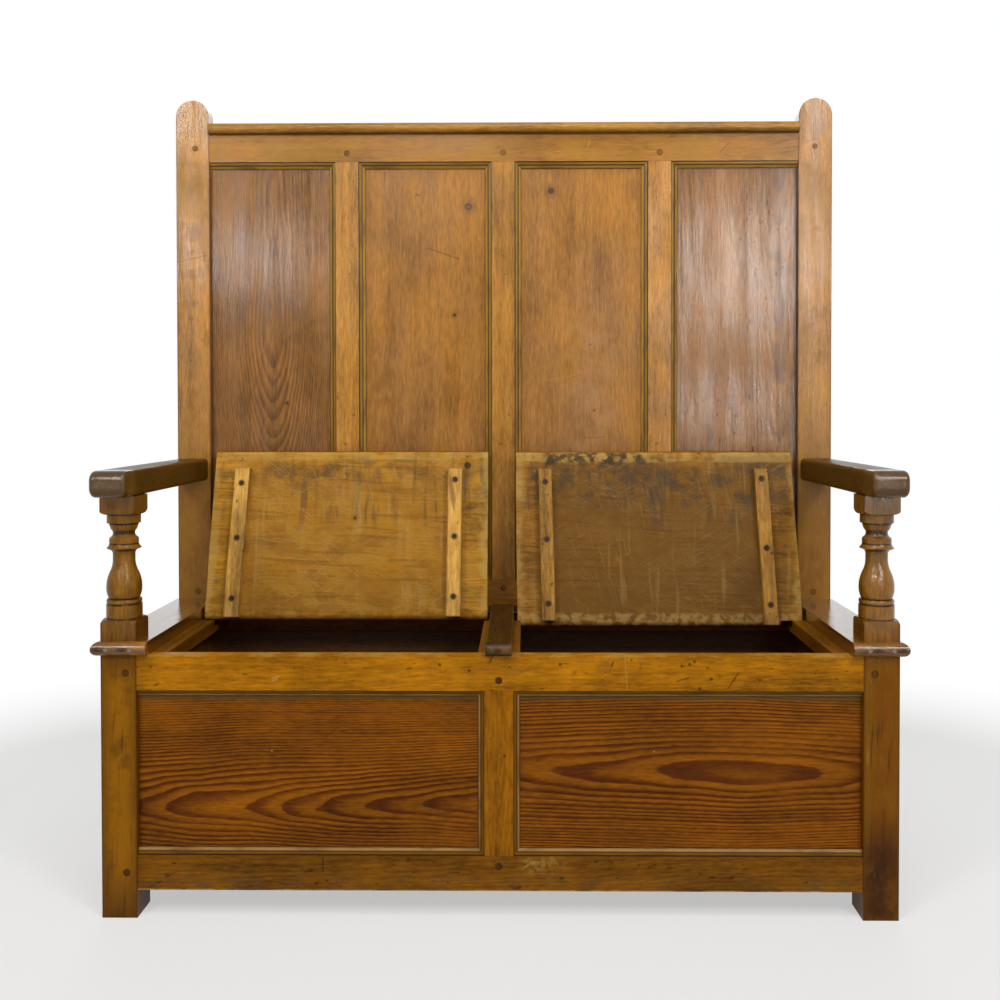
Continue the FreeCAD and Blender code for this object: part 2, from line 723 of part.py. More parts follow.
def turned_profile():
    """Waste that the lathe takes off the square front post, between its two square blocks."""
    corner = s["leg_size"] * CORNER_SHARE
    block_end = s["seat_top"] + s["low_block"]
    base_low = block_end + s["low_shoulder"]
    base_high = base_low + s["base_length"]
    ring_low = base_high + s["base_quirk"]
    ring_high = ring_low + s["ring_length"]
    high_end = s["arm_top"] - s["arm_thickness"] - s["high_block"]
    collar_high = high_end - s["high_shoulder"]
    collar_low = collar_high - s["collar_length"]
    high_band_top = collar_low - s["collar_quirk"]
    high_band_low = high_band_top - s["high_band_length"]
    low_band_top = high_band_low - s["cove_length"]
    low_band_edge = low_band_top - s["low_band_round"]
    low_band_low = low_band_edge - s["low_band_length"]
    flare_top = low_band_low - s["low_band_quirk"]
    flare_low = flare_top - s["flare_length"]
    flare_under = flare_low - s["flare_lip"]
    neck_top = flare_under - s["low_cove"]
    neck_low = neck_top - s["neck_length"]
    shoulder = neck_low - s["vase_neck_length"]
    belly = shoulder - s["vase_shoulder_length"]
    band = s["low_band_radius"]
    quirk = s["collar_quirk_radius"]
    return [
        (corner, block_end, -SHOULDER_BEND), (s["base_radius"], base_low),
        (s["base_radius"], base_high), (s["ring_radius"], base_high),
        (s["ring_radius"], ring_low, -RING_BEND), (s["ring_radius"], ring_high),
        (s["vase_foot_radius"], ring_high, -BELLY_BEND), (s["belly_radius"], belly, -BELLY_BEND),
        (s["vase_shoulder_radius"], shoulder, VASE_NECK_BEND), (s["neck_radius"], neck_low),
        (s["neck_radius"], neck_top, LOW_COVE_BEND), (s["flare_under_radius"], flare_under),
        (s["flare_radius"], flare_low, FLARE_BEND), (band, flare_top),
        (band - s["low_band_quirk"], flare_top), (band - s["low_band_quirk"], low_band_low),
        (band, low_band_low), (band, low_band_edge),
        (s["low_band_top_radius"], low_band_top, HIGH_COVE_BEND),
        (s["high_band_low_radius"], high_band_low),
        (s["high_band_top_radius"], high_band_top), (quirk, high_band_top), (quirk, collar_low),
        (s["collar_radius"], collar_low), (s["collar_radius"], collar_high, -SHOULDER_BEND),
        (corner, high_end)]


def turned_leg():
    """Left front post, turned between the seat and the arm, with a round tenon on top."""
    half = s["leg_size"] / 2
    arm_underside = s["arm_top"] - s["arm_thickness"]
    body = pad("front_post_stick", "XY_Plane", [(-half, -half), (half, -half), (half, half), (-half, half)],
               arm_underside)
    sketch = add_sketch(body, "XZ_Plane")
    outline(sketch, turned_profile())
    doc.recompute()
    before = body.Shape.Volume
    turning = body.newObject("PartDesign::Groove", "turning")
    turning.Profile = sketch
    turning.ReferenceAxis = (sketch, ["V_Axis"])
    turning.Angle = 360
    doc.recompute()
    if body.Shape.Volume >= before:
        raise RuntimeError("the turning took nothing off the front post")
    place(body, -half_width + half, front + half)
    tenon = rod("front_post_tenon", "z", (-half_width + half, front + half, arm_underside),
                s["leg_tenon_radius"], s["leg_tenon_length"])
    return fuse("front_post_blank", [body, tenon])


leg_blank = turned_leg()

# Nosing strips in front of the posts, and the nails that hold them
strip_low = (-half_width - s["seat_overhang"], seat_front, rail_top)
edge_round = s["board_thickness"] / 2
side_profile = [
    (edge_round, 0, HALF_ROUND), (edge_round, s["board_thickness"]),
    (s["end_board_width"], s["board_thickness"]),
    (s["end_board_width"], 0)]
strip_nose = pad("nosing_nose", "YZ_Plane", [
    (edge_round, 0, HALF_ROUND), (edge_round, s["board_thickness"]),
    (s["seat_overhang"], s["board_thickness"]), (s["seat_overhang"], 0)],
    s["end_board_width"])
place(strip_nose, *strip_low)
strip_return = pad("nosing_return", "XZ_Plane", side_profile, s["seat_overhang"])
place(strip_return, strip_low[0], front, rail_top)
nails = []
for number, inset in enumerate((s["nail_outer_inset"], s["nail_inner_inset"]), start=1):
    nail_x = -half_width + inset
    nail_z = rail_top + edge_round
    head_front = seat_front - s["nail_head_proud"]
    start = (nail_x, head_front, nail_z)
    nails.append(fuse(f"nosing_nail_{number}", [
        rod(f"nail_head_{number}", "y", start, s["nail_head_radius"], s["nail_head_height"]),
        rod(f"nail_shank_{number}", "y", start, s["nail_shank_radius"], s["nail_length"])]))
left_nails = group("left_nails", nails)
keep("nosing_nails", group("nail_group", [left_nails, mirrored("right_nails", left_nails)]))
nosing = cut("seat_nosing_piece", overlap("nosing_blank", strip_nose, strip_return), nails)
keep("seat_nosing_left", nosing)
keep("seat_nosing_right", mirrored("seat_nosing_mirror", nosing))

front_post = cut("front_post_piece", leg_blank, [
    front_top_rail, front_bottom_rail, side_top_rail, side_bottom_rail, front_grooves, side_grooves,
    front_pegs[0], front_pegs[1], side_pegs_left, left_nails])
keep("front_post_left", front_post)
keep("front_post_right", mirrored("front_post_mirror", front_post))

# Arms: rounded bars on the front posts' tenons, tenoned into the back posts
arm_underside = s["arm_top"] - s["arm_thickness"]
arm_low = (-half_width, front - s["arm_reach"], arm_underside)
arm_length = back - arm_low[1]
arm_stick = pad("arm_stick", "XZ_Plane", [
    (0, 0), (s["arm_width"], 0), (s["arm_width"], s["arm_thickness"]), (0, s["arm_thickness"])], arm_length)
doc.recompute()
arm_block = arm_stick.Tip
arm_nose = arm_stick.newObject("PartDesign::Fillet", "arm_nose")
arm_nose.Base = (arm_block, edges_where(arm_block, lambda middle: (
    middle.y < 1 - arm_length.value and abs(middle.x - s["arm_width"].value / 2) < 1)))
bind(arm_nose, "Radius", s["arm_nose"])
doc.recompute()
arm_rounding = arm_stick.newObject("PartDesign::Fillet", "arm_rounding")
arm_rounding.Base = (arm_nose, edges_where(arm_nose, lambda middle: (
    middle.y < -1 and abs(middle.x - s["arm_width"].value / 2) > s["arm_width"].value / 2 - 1)))
bind(arm_rounding, "Radius", s["arm_round"])
place(arm_stick, -half_width, back, arm_underside)
arm_middle = -half_width + s["arm_width"] / 2
arm_centre = arm_underside + s["arm_thickness"] / 2
arm_tenon = block("arm_tenon",
                  (arm_middle - s["arm_tenon_width"] / 2, back, arm_centre - s["arm_tenon_height"] / 2),
                  (arm_middle + s["arm_tenon_width"] / 2, back + s["arm_tenon_length"],
                   arm_centre + s["arm_tenon_height"] / 2))
arm = cut("arm_piece", fuse("arm_blank", [arm_stick, arm_tenon]), [leg_blank])
keep("arm_left", arm)
keep("arm_right", mirrored("arm_mirror", arm))

# Back posts with half-round tops
post_round = s["post_width"] / 2
post_stick = pad("back_post_stick", "XZ_Plane", [
    (0, 0), (s["post_width"], 0), (s["post_width"], s["post_height"] - post_round, -HALF_ROUND),
    (0, s["post_height"] - post_round)], s["post_thickness"])
place(post_stick, -half_width, rear)
back_post = cut("back_post_piece", post_stick, [
    back_top_blank, back_seat_blank, back_bottom_blank, side_top_rail, side_bottom_rail, arm,
    back_grooves, lower_grooves, side_grooves, side_pegs_left])
keep("back_post_left", cut("left_post_pegged", back_post, left_post_pegs))
keep("back_post_right", cut("right_post_pegged", mirrored("back_post_mirror", back_post), right_post_pegs))

# Seat boards, ledges and the strip between the lids
pin_places = {side: rear_board_front - s[f"{side}_lid_rear_gap"] - s[f"{side}_lid_tail"]
              for side in ("left", "right")}
lean_right = s["right_lid_lean_angle"]
tail_centre = s["right_lid_tail"] - lid_round
relief_front = pin_places["right"] - tail_centre * sine(lean_right) - lid_round - s["relief_gap"]
relief_low = pin_height - s["right_lid_tail"] - s["relief_gap"]


def relief(name, low_x, high_x):
    """Hollow behind a ledge's rear end, where the tail of an open lid goes."""
    return block(name, (low_x, relief_front, relief_low), (high_x, rear_board_front, rail_top))


keep("centre_bearer", cut("centre_bearer_cut", lid_bearer, [
    relief("bearer_relief_left", -s["bearer_width"] / 2, -cap_side),
    relief("bearer_relief_right", cap_side, s["bearer_width"] / 2)]))
ledge_edge = board_inner_edge - s["ledge_reach"]
ledge = cut("lid_ledge_piece", block(
    "lid_ledge_stick", (-post_inside, front_rail_rear, rail_top - s["ledge_thickness"]),
    (-ledge_edge, back_face, rail_top)), [relief("ledge_relief", -board_inner_edge, -ledge_edge)])
keep("lid_ledge_left", ledge)
keep("lid_ledge_right", mirrored("lid_ledge_mirror", ledge))

rear_board = pad("rear_board_piece", "YZ_Plane", [
    (0, 0), (0, s["board_thickness"] - s["rear_arris"], QUARTER_ROUND),
    (s["rear_arris"], s["board_thickness"]), (s["rear_board_depth"], s["board_thickness"]),
    (s["rear_board_depth"], 0)], 2 * board_inner_edge)
place(rear_board, -board_inner_edge, rear_board_front, rail_top)
keep("seat_rear_board", rear_board)

outer_ends = {side: board_inner_edge - s[f"{side}_lid_outer_gap_rear"] for side in ("left", "right")}
inner_ends = {side: cap_side + s[f"{side}_lid_inner_gap_rear"] for side in ("left", "right")}
pin_outer = board_inner_edge + s["pin_in_board"]
pin_inner = cap_side - s["pin_in_cap"]
pins = {
    "left_outer": (-pin_outer, -outer_ends["left"] + s["pin_in_lid"], "left"),
    "left_inner": (-inner_ends["left"] - s["pin_in_lid"], -pin_inner, "left"),
    "right_inner": (pin_inner, inner_ends["right"] + s["pin_in_lid"], "right"),
    "right_outer": (outer_ends["right"] - s["pin_in_lid"], pin_outer, "right"),
}
pin_rods = {name: rod(f"pivot_pin_{name}", "x", (low, pin_places[side], pin_height),
                      s["pin_radius"], high - low)
            for name, (low, high, side) in pins.items()}
keep("lid_pivot_pins", group("pivot_pins", list(pin_rods.values())))

cap_length = rear_board_front - seat_front
cap = pad("cap_strip_stick", "YZ_Plane", [
    (edge_round, 0, HALF_ROUND), (edge_round, s["board_thickness"]),
    (cap_length, s["board_thickness"]), (cap_length, 0)], s["cap_width"])
place(cap, -cap_side, seat_front, rail_top)
keep("centre_cap_strip", cut("cap_strip_piece", cap, [
    cap_peg, pin_rods["left_inner"], pin_rods["right_inner"]]))

end_board = pad("end_board_stick", "XZ_Plane", side_profile, s["body_depth"])
place(end_board, strip_low[0], back, rail_top)
end_board_notched = cut("end_board_notched", end_board, [leg_blank, left_nails])
keep("seat_end_board_left", cut("end_board_left_piece", end_board_notched, [pin_rods["left_outer"]]))
keep("seat_end_board_right", cut("end_board_right_piece", mirrored("end_board_mirror", end_board_notched),
                                 [pin_rods["right_outer"]]))

# Box floor: three boards on cross bearers
box_inside = half_width - s["rail_setback"] - s["rail_thickness"]
bearer_low = s["floor_underside"] - s["floor_bearer_height"]
floor_bearer = block("floor_bearer_side", (-box_inside, leg_rear, bearer_low),
                     (-box_inside + s["floor_bearer_width"], back - s["floor_gap"], s["floor_underside"]))
bearer_side = s["floor_bearer_width"] / 2
floor_bearer_middle = block("floor_bearer_middle", (-bearer_side, front_rail_rear, bearer_low),
                            (bearer_side, back_face, s["floor_underside"]))
keep("floor_bearers", group("floor_bearer_group", [
    floor_bearer, floor_bearer_middle, mirrored("floor_bearer_mirror", floor_bearer)]))
board_step = (back - front_rail_rear) / len(FLOOR_BOARDS)
floor_top = s["floor_underside"] + s["floor_thickness"]
for number, where in enumerate(FLOOR_BOARDS):
    board_front = front_rail_rear + number * board_step
    board = block(f"floor_board_{where}_piece", (-box_inside, board_front, s["floor_underside"]),
                  (box_inside, board_front + board_step - s["floor_gap"], floor_top))
    if where == "front":
        board = cut("floor_board_front_notched", board, [leg_blank, mirrored("leg_blank_mirror", leg_blank)])
    keep(f"floor_board_{where}", board)


def screw(name, x, y, underside):
    """Countersunk slotted screw driven up from a batten's lower face, in the closed lid's frame."""
    head, shank = s["screw_head_radius"], s["screw_shank_radius"]
    half_slot = s["slot_width"] / 2
    corners = [(0, 0), (head, 0), (shank, s["screw_head_height"]), (shank, s["screw_length"]),
               (0, s["screw_length"])]
    body = doc.addObject("PartDesign::Body", name)
    sketch = add_sketch(body, "XZ_Plane")
    outline(sketch, corners)
    turned = body.newObject("PartDesign::Revolution", name + "_turned")
    turned.Profile = sketch
    turned.ReferenceAxis = (sketch, ["V_Axis"])
    turned.Angle = 360
    place(body, x, y, underside)
    slot = block(name + "_slot", (x - half_slot, y - head, underside),
                 (x + half_slot, y + head, underside + s["slot_depth"]))
    return cut(name + "_slotted", body, [slot])


def make_lid(side, lean):
    """Lid board, its two battens and their screws. They are built closed about the pin axis,
    then turned open with the lid's placement."""
    sign = -1 if side == "left" else 1
    tail = s[f"{side}_lid_tail"]
    outer_rear = outer_ends[side]
    inner_rear = inner_ends[side]
    outer_front = board_inner_edge - s[f"{side}_lid_outer_gap_front"]
    inner_front = cap_side + s[f"{side}_lid_inner_gap_front"]
    pin_y = pin_places[side]
    front_y = lid_front - pin_y
    nose_y = front_y + lid_round
    tail_y = tail - lid_round
    low_x = -board_inner_edge if sign < 0 else cap_side
    edges = pad(f"{side}_lid_edges", "YZ_Plane", [
        (nose_y, -lid_round, HALF_ROUND), (nose_y, lid_round),
        (tail_y, lid_round, HALF_ROUND), (tail_y, -lid_round)], board_inner_edge - cap_side)
    place(edges, low_x)
    plan = pad(f"{side}_lid_plan", "XY_Plane", [
        (sign * inner_front, front_y), (sign * outer_front, front_y),
        (sign * outer_rear, tail), (sign * inner_rear, tail)], lid_thickness)
    place(plan, 0, 0, -lid_round)
    hole_depth = s["pin_in_lid"] + s["pin_hole_extra"]
    hole_radius = s["pin_radius"] + s["pin_play"]
    hole_starts = ((-outer_rear - s["pin_hole_extra"], -inner_rear - hole_depth) if sign < 0 else
                   (inner_rear - s["pin_hole_extra"], outer_rear - hole_depth))
    tools = [rod(f"{side}_pin_hole_{number}", "x", (start, 0, 0), hole_radius,
                 hole_depth + s["pin_hole_extra"])
             for number, start in enumerate(hole_starts, start=1)]
    if side == "right":
        tools.append(block("right_tail_notch",
                           (outer_rear - s["tail_notch_length"], tail - s["tail_notch_height"], -lid_round),
                           (board_inner_edge, tail, lid_round)))
    batten_under = -lid_round - s["batten_thickness"]
    batten_front = front_rail_rear + s["batten_front_gap"] - pin_y
    half = s[f"{side}_batten_width"] / 2
    pieces = {}
    all_screws = []
    for where, edge, inward in (("outer", outer_rear, -1), ("inner", inner_rear, 1)):
        name = f"{side}_{where}"
        front_x = sign * (edge + inward * s[f"{name}_batten_front"])
        rear_x = sign * (edge + inward * s[f"{name}_batten_rear"])
        rear_y = tail - s[f"{name}_batten_end"]
        stick = pad(f"{name}_batten_stick", "XY_Plane", [
            (front_x - half, batten_front), (front_x + half, batten_front),
            (rear_x + half, rear_y), (rear_x - half, rear_y)], s["batten_thickness"])
        place(stick, 0, 0, batten_under)
        screws = []
        sinks = []
        batten_length = rear_y - batten_front
        first = s[f"{name}_screw_front"]
        last = batten_length - s[f"{name}_screw_rear"]
        middle = (first + last) / 2 + s[f"{name}_screw_shift"]
        for number, along in enumerate((first, middle, last), start=1):
            x = front_x + (rear_x - front_x) * (along / batten_length)
            y = batten_front + along
            screws.append(screw(f"{name}_screw_{number}", x, y, batten_under + s["screw_sink"]))
            sinks.append(rod(f"{name}_sink_{number}", "z", (x, y, batten_under),
                             s["screw_head_radius"], s["screw_sink"] + s["slot_depth"]))
        pieces[f"{side}_lid_{where}_batten"] = cut(f"{name}_batten_piece", stick, sinks + screws)
        all_screws += screws
    board = overlap(f"{side}_lid_blank", edges, plan)
    pieces[f"{side}_lid_board"] = cut(f"{side}_lid_board_piece", board, tools + all_screws)
    pieces[f"{side}_lid_screws"] = group(f"{side}_screw_group", all_screws)
    for name, piece in pieces.items():
        turn_open(piece, pin_y, lean)
        keep(name, piece)


def turn_open(piece, pin_y, lean):
    """Place a piece of a lid about its pins, turned open past upright by the lean."""
    piece.Placement = FreeCAD.Placement(FreeCAD.Vector(), FreeCAD.Rotation(FreeCAD.Vector(1, 0, 0), -90))
    bind(piece, "Placement.Rotation.Angle", 270 - lean)
    place(piece, 0, pin_y, pin_height)


left_reach = pin_places["left"] - lid_front - lid_round
lean_left = arcsine((back_face - s["lid_rest_gap"] - lid_round - pin_places["left"]) / left_reach)
make_lid("left", lean_left)
make_lid("right", lean_right)

doc.recompute()
for item in doc.Objects:
    if "Invalid" in item.State or "Error" in item.State:
        raise RuntimeError(f"{item.Label} did not rebuild: {item.State}")
os.makedirs("parts", exist_ok=True)
for item in nodes:
    if item.Shape.isNull() or not item.Shape.isValid():
        raise RuntimeError(f"{item.Label} has no valid shape")
    item.Shape.exportStep(f"parts/{item.Label}.step")
    box = item.Shape.BoundBox
    print(f"{item.Label}: {len(item.Shape.Solids)} solids, {item.Shape.Volume:.0f} mm3, "
          f"x {box.XMin:.1f} {box.XMax:.1f}, y {box.YMin:.1f} {box.YMax:.1f}, "
          f"z {box.ZMin:.1f} {box.ZMax:.1f}")
print(f"{len(nodes)} nodes; pins at y {pin_places['left'].value:.2f} and {pin_places['right'].value:.2f}, "
      f"z {pin_height.value:.2f}; leans {lean_left.value:.3f} and {lean_right.value:.3f} degrees")
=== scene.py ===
import bmesh
import bpy
import json
import math
from mathutils import Matrix, Vector

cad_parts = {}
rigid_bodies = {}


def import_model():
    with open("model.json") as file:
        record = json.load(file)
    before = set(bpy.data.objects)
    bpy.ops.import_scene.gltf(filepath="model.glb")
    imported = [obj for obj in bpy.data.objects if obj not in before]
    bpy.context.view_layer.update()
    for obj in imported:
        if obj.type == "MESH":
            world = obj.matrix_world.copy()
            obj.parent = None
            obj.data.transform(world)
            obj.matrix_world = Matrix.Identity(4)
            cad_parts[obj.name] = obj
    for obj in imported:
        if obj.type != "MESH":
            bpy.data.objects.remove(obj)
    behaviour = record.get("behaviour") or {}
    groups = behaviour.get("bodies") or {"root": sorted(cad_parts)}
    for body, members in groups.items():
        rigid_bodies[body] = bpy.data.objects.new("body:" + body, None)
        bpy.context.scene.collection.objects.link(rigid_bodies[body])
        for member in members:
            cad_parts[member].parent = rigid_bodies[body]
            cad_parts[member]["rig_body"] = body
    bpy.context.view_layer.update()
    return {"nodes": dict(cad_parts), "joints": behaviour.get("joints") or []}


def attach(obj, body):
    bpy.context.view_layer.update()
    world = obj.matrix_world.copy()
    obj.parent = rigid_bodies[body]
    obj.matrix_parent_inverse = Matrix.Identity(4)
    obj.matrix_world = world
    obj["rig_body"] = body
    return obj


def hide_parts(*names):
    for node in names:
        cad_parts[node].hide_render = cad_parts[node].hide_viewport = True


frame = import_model()
scene = bpy.context.scene
NODES = frame["nodes"]

# How far each lid leans back past upright at rest, by the body that it is
LEANS = {joint["child"]: math.radians(joint["range_deg"][1] - 90) for joint in frame["joints"]}

# Camera of the photograph: its focal length and the point its axis meets, in pixels of a
# frame 1000 wide, and its place and turns in the object's frame.
FRAME_PIXELS = 1000
FOCAL_PIXELS = 1039.3
AXIS_PIXEL = (514.1, 427.4)
SENSOR_MM = 36
CAMERA_PLACE = Vector((0.0448, -1.9382, 0.8628))
CAMERA_DOWN = math.radians(0.948)
CAMERA_LEFT = math.radians(0.601)
CAMERA_ROLL = math.radians(-0.06)


def make_camera():
    """The calibrated camera of the photograph."""
    data = bpy.data.cameras.new("camera")
    data.sensor_width = SENSOR_MM
    data.lens = SENSOR_MM * FOCAL_PIXELS / FRAME_PIXELS
    data.shift_x = (FRAME_PIXELS / 2 - AXIS_PIXEL[0]) / FRAME_PIXELS
    data.shift_y = (AXIS_PIXEL[1] - FRAME_PIXELS / 2) / FRAME_PIXELS
    camera = bpy.data.objects.new("camera", data)
    turn = Matrix.Rotation(CAMERA_LEFT, 4, "Z") @ Matrix.Rotation(math.pi / 2 - CAMERA_DOWN, 4, "X")
    camera.matrix_world = Matrix.Translation(CAMERA_PLACE) @ turn @ Matrix.Rotation(CAMERA_ROLL, 4, "Z")
    scene.collection.objects.link(camera)
    scene.camera = camera


# How a pattern's shift and a board's seed move its place in the noise
SHIFT_ACROSS = 3.0
SEED_IN_DEPTH = 0.37


class Graph:
    """Short names for the shader nodes of one material."""

    def __init__(self, material):
        material.use_nodes = True
        self.tree = material.node_tree
        self.tree.nodes.clear()

    def add(self, kind, inputs=None, **settings):
        node = self.tree.nodes.new(kind)
        for name, value in settings.items():
            setattr(node, name, value)
        for name, value in (inputs or {}).items():
            self.feed(node.inputs[name], value)
        return node

    def feed(self, socket, value):
        if isinstance(value, bpy.types.NodeSocket):
            self.tree.links.new(value, socket)
        elif value is not None:
            socket.default_value = value

    def math(self, operation, first, second=None, third=None, clamp=False):
        inputs = {0: first, 1: second, 2: third}
        return self.add("ShaderNodeMath", inputs, operation=operation, use_clamp=clamp).outputs[0]

    def fold(self, operation, values):
        """One operation run through several values, such as their sum or the greatest of them."""
        total, *rest = values
        for value in rest:
            total = self.math(operation, total, value)
        return total

    def add_up(self, *values):
        return self.fold("ADD", values)

    def times(self, first, second):
        return self.math("MULTIPLY", first, second)

    def weigh(self, base, *pairs):
        """A base plus each value times its weight."""
        for value, weight in pairs:
            base = self.math("MULTIPLY_ADD", value, weight, base)
        return base

    def length(self, first, second):
        return self.math("SQRT", self.add_up(self.times(first, first), self.times(second, second)))

    def vector(self, x, y, z):
        return self.add("ShaderNodeCombineXYZ", {0: x, 1: y, 2: z}).outputs[0]

    def vector_math(self, operation, first, second=None, third=None):
        node = self.add("ShaderNodeVectorMath", {0: first, 1: second, 2: third}, operation=operation)
        return node.outputs["Value" if operation in ("DISTANCE", "DOT_PRODUCT") else "Vector"]

    def stretched(self, at, along, across, shift=0.0):
        """The point of the board with each length scaled, moved to its own part of the noise."""
        start = (shift, at.seed + shift * SHIFT_ACROSS, at.seed * SEED_IN_DEPTH)
        return self.vector_math("MULTIPLY_ADD", at.point, (along, across, across), start)

    def noise(self, vector, scale=1.0, detail=2.0, roughness=0.5):
        inputs = {"Vector": vector, "Scale": scale, "Detail": detail, "Roughness": roughness}
        return self.add("ShaderNodeTexNoise", inputs).outputs["Fac"]

    def sway(self, vector, amount, scale=1.0, detail=1.0):
        """Noise about zero, as a length in metres."""
        return self.math("MULTIPLY_ADD", self.noise(vector, scale, detail), 2 * amount, -amount)

    def step(self, value, low, high):
        """0 up to low, 1 from high, smooth between; the other way round where high is under low."""
        inputs = {"Value": value, "From Min": low, "From Max": high}
        return self.add("ShaderNodeMapRange", inputs, interpolation_type="SMOOTHSTEP", clamp=True).outputs[0]

    def pattern(self, at, along, across, low, high, detail=2.0, roughness=0.5, shift=0.0):
        """Patches of noise, 0 to 1, with cycles a metre along and across the grain."""
        field = self.stretched(at, along, across, shift)
        return self.step(self.noise(field, detail=detail, roughness=roughness), low, high)

    def mix(self, factor, first, second, blend="MIX"):
        node = self.add("ShaderNodeMix", {0: factor}, data_type="RGBA", blend_type=blend)
        for socket, value in ((node.inputs[6], first), (node.inputs[7], second)):
            self.feed(socket, (*value, 1) if isinstance(value, tuple) else value)
        return node.outputs[2]

    def position(self):
        return self.add("ShaderNodeTexCoord").outputs["Object"]

    def show(self, shader, kind="Material"):
        self.add("ShaderNodeOutput" + kind, {"Surface": shader.outputs[0]})

    def bump(self, height, distance):
        inputs = {"Strength": BUMP_STRENGTH, "Distance": distance, "Height": height}
        return self.add("ShaderNodeBump", inputs).outputs[0]


AXES = "xyz"


def side_axis(grain, face):
    """The axis that is neither along the grain nor square to the face."""
    return next(axis for axis in AXES if axis not in (grain, face))


def local_frame(node, turn):
    """Centre and size of a node, in a frame turned about X, where turn lays an open lid flat."""
    undo = Matrix.Rotation(-turn, 3, "X")
    corners = [undo @ vertex.co for vertex in NODES[node].data.vertices]
    low = Vector([min(corner[axis] for corner in corners) for axis in range(3)])
    high = Vector([max(corner[axis] for corner in corners) for axis in range(3)])
    return Matrix.Rotation(turn, 3, "X") @ ((low + high) / 2), high - low


class Look:
    """What one board looks like. Lengths are in metres and colours are linear."""

    ring = 0.0045  # width of a year ring
    contrast = 0.3  # strength of the late wood
    pith = (0, 0.06)  # across and depth from the board's centre
    tilt = 0.02  # how the pith leaves the face along the grain
    bow = 0.0  # the same, to both sides of the crown
    crown = 0.0
    wave = 0.006  # how far the pith wanders
    fibre = 0.26  # how much the fibres change the shade
    streaks = 0.18
    cloud = 0.3
    blush = None  # second colour, in patches
    specks = 0.35
    rough = 0.34
    shine = 0.2
    coat = 0.0  # polish
    coat_rough = 0.2
    coat_ior = 1.5
    coat_span = None  # where along the grain it starts and is full
    coat_worn = False  # rubbed thin in patches
    top = None  # tint of the upper face, which has no marks
    marks = ()

    def __init__(self, colours, **changes):
        self.early, self.late = colours
        for name, value in changes.items():
            setattr(self, name, value)


class Place:
    """Where a point of a board lies: lengths from its centre, and the board's size the same way."""

    def __init__(self, g, parts, size, seed):
        self.along, self.across, self.depth = parts
        self.point = g.vector(*parts)
        self.size = size
        self.seed = seed


DARK = (0.01, 0.004, 0.001)
# painted shade in the hollows and lines of the mouldings, also used for their dirt
QUIRK_SHADE_AND_DIRT = (0.055, 0.022, 0.002)

# Rings: grains of the noise the pith wanders by, and how far, in shares of the look's wave
SLOW_WANDER = (2.2, 3.0)
QUICK_WANDER = (7, 16)
WANDER_ACROSS = 2.5
WANDER_IN_DEPTH = 0.6
RIPPLE = 0.14
RIPPLE_DETAIL = 3.0
CROWN_ROUND = 0.03

# Rings: how many at the pith and how they crowd outwards, how uneven they are, and the part of each
# year that is late wood
YEARS_AT_PITH = 0.8
YEARS_CROWDING = 2.0
YEAR_GRAIN = 90
YEAR_SWAY = 0.5
LATE_WOOD_START = (0.2, 0.8)
LATE_WOOD_END = (1.0, 0.9)


def ring_figure(g, look, at):
    """Late wood of the year rings, 0 to 1."""
    slow = g.stretched(at, *SLOW_WANDER)
    quick = g.stretched(at, *QUICK_WANDER)
    run = g.math("SUBTRACT", at.along, look.crown)
    rise = g.times(run, look.tilt)
    if look.bow:
        rise = g.add_up(rise, g.times(g.length(run, CROWN_ROUND), look.bow))
    pith_across, pith_depth = look.pith
    from_pith_across = g.add_up(at.across, -pith_across, g.sway(slow, look.wave * WANDER_ACROSS))
    wander = g.sway(quick, look.wave * WANDER_IN_DEPTH)
    from_pith_depth = g.add_up(g.math("SUBTRACT", pith_depth, at.depth), rise, wander)
    ripple = g.sway(quick, look.wave * RIPPLE, RIPPLE_DETAIL, RIPPLE_DETAIL)
    radius = g.add_up(g.length(from_pith_across, from_pith_depth), ripple)
    crowding = g.math("MULTIPLY_ADD", radius, YEARS_CROWDING / look.ring, YEARS_AT_PITH / look.ring)
    uneven = g.sway(g.vector(g.times(radius, YEAR_GRAIN), at.seed, 0.0), YEAR_SWAY)
    year = g.math("FRACT", g.add_up(g.times(radius, crowding), uneven))
    return g.times(g.step(year, *LATE_WOOD_START), g.step(year, *LATE_WOOD_END))


FIBRE = dict(along=45, across=300, low=0.25, high=0.75, detail=3.0, roughness=0.62)
STREAK = dict(along=1.6, across=70, low=0.25, high=0.75, detail=4.0, roughness=0.6)
CLOUD = dict(along=5, across=10, low=0.25, high=0.75, detail=6.0, roughness=0.66)
PATCH = dict(along=4.5, across=9, low=0.35, high=0.65, detail=5.0, roughness=0.62, shift=11.0)
SPECK = dict(along=70, across=130, low=0.68, high=0.76)
RUBBED = dict(along=5, across=40, low=0.35, high=0.62, detail=4.0, roughness=0.6, shift=7.0)

# Contrast of the late wood outside a patch and what a patch adds, and the blush in a patch
PLAIN_CONTRAST = 0.65
PATCH_CONTRAST = 0.5
BLUSH_SHARE = 0.75

# Roughness that streaks and clouds add, and what is taken off so that its middle stays
STREAK_ROUGH = 0.1
CLOUD_ROUGH = 0.14
ROUGH_MIDDLE = 0.12

# Relief of the wood and of the polish on it, and how much polish is left where it is rubbed thin
BUMP_STRENGTH = 0.4
WOOD_RELIEF = 0.0012
STREAK_RELIEF = 0.35
CLOUD_RELIEF = 1.3
FIBRE_RELIEF = 0.2
COAT_RELIEF = 0.001
STREAK_GROOVES = 0.6
FIBRE_GROOVES = 0.25
RUBBED_COAT = 0.4

# Depth of the upper face's own tint, and how much smoother that face is
TOP_SKIN = 0.003
TOP_SMOOTHER = -0.2


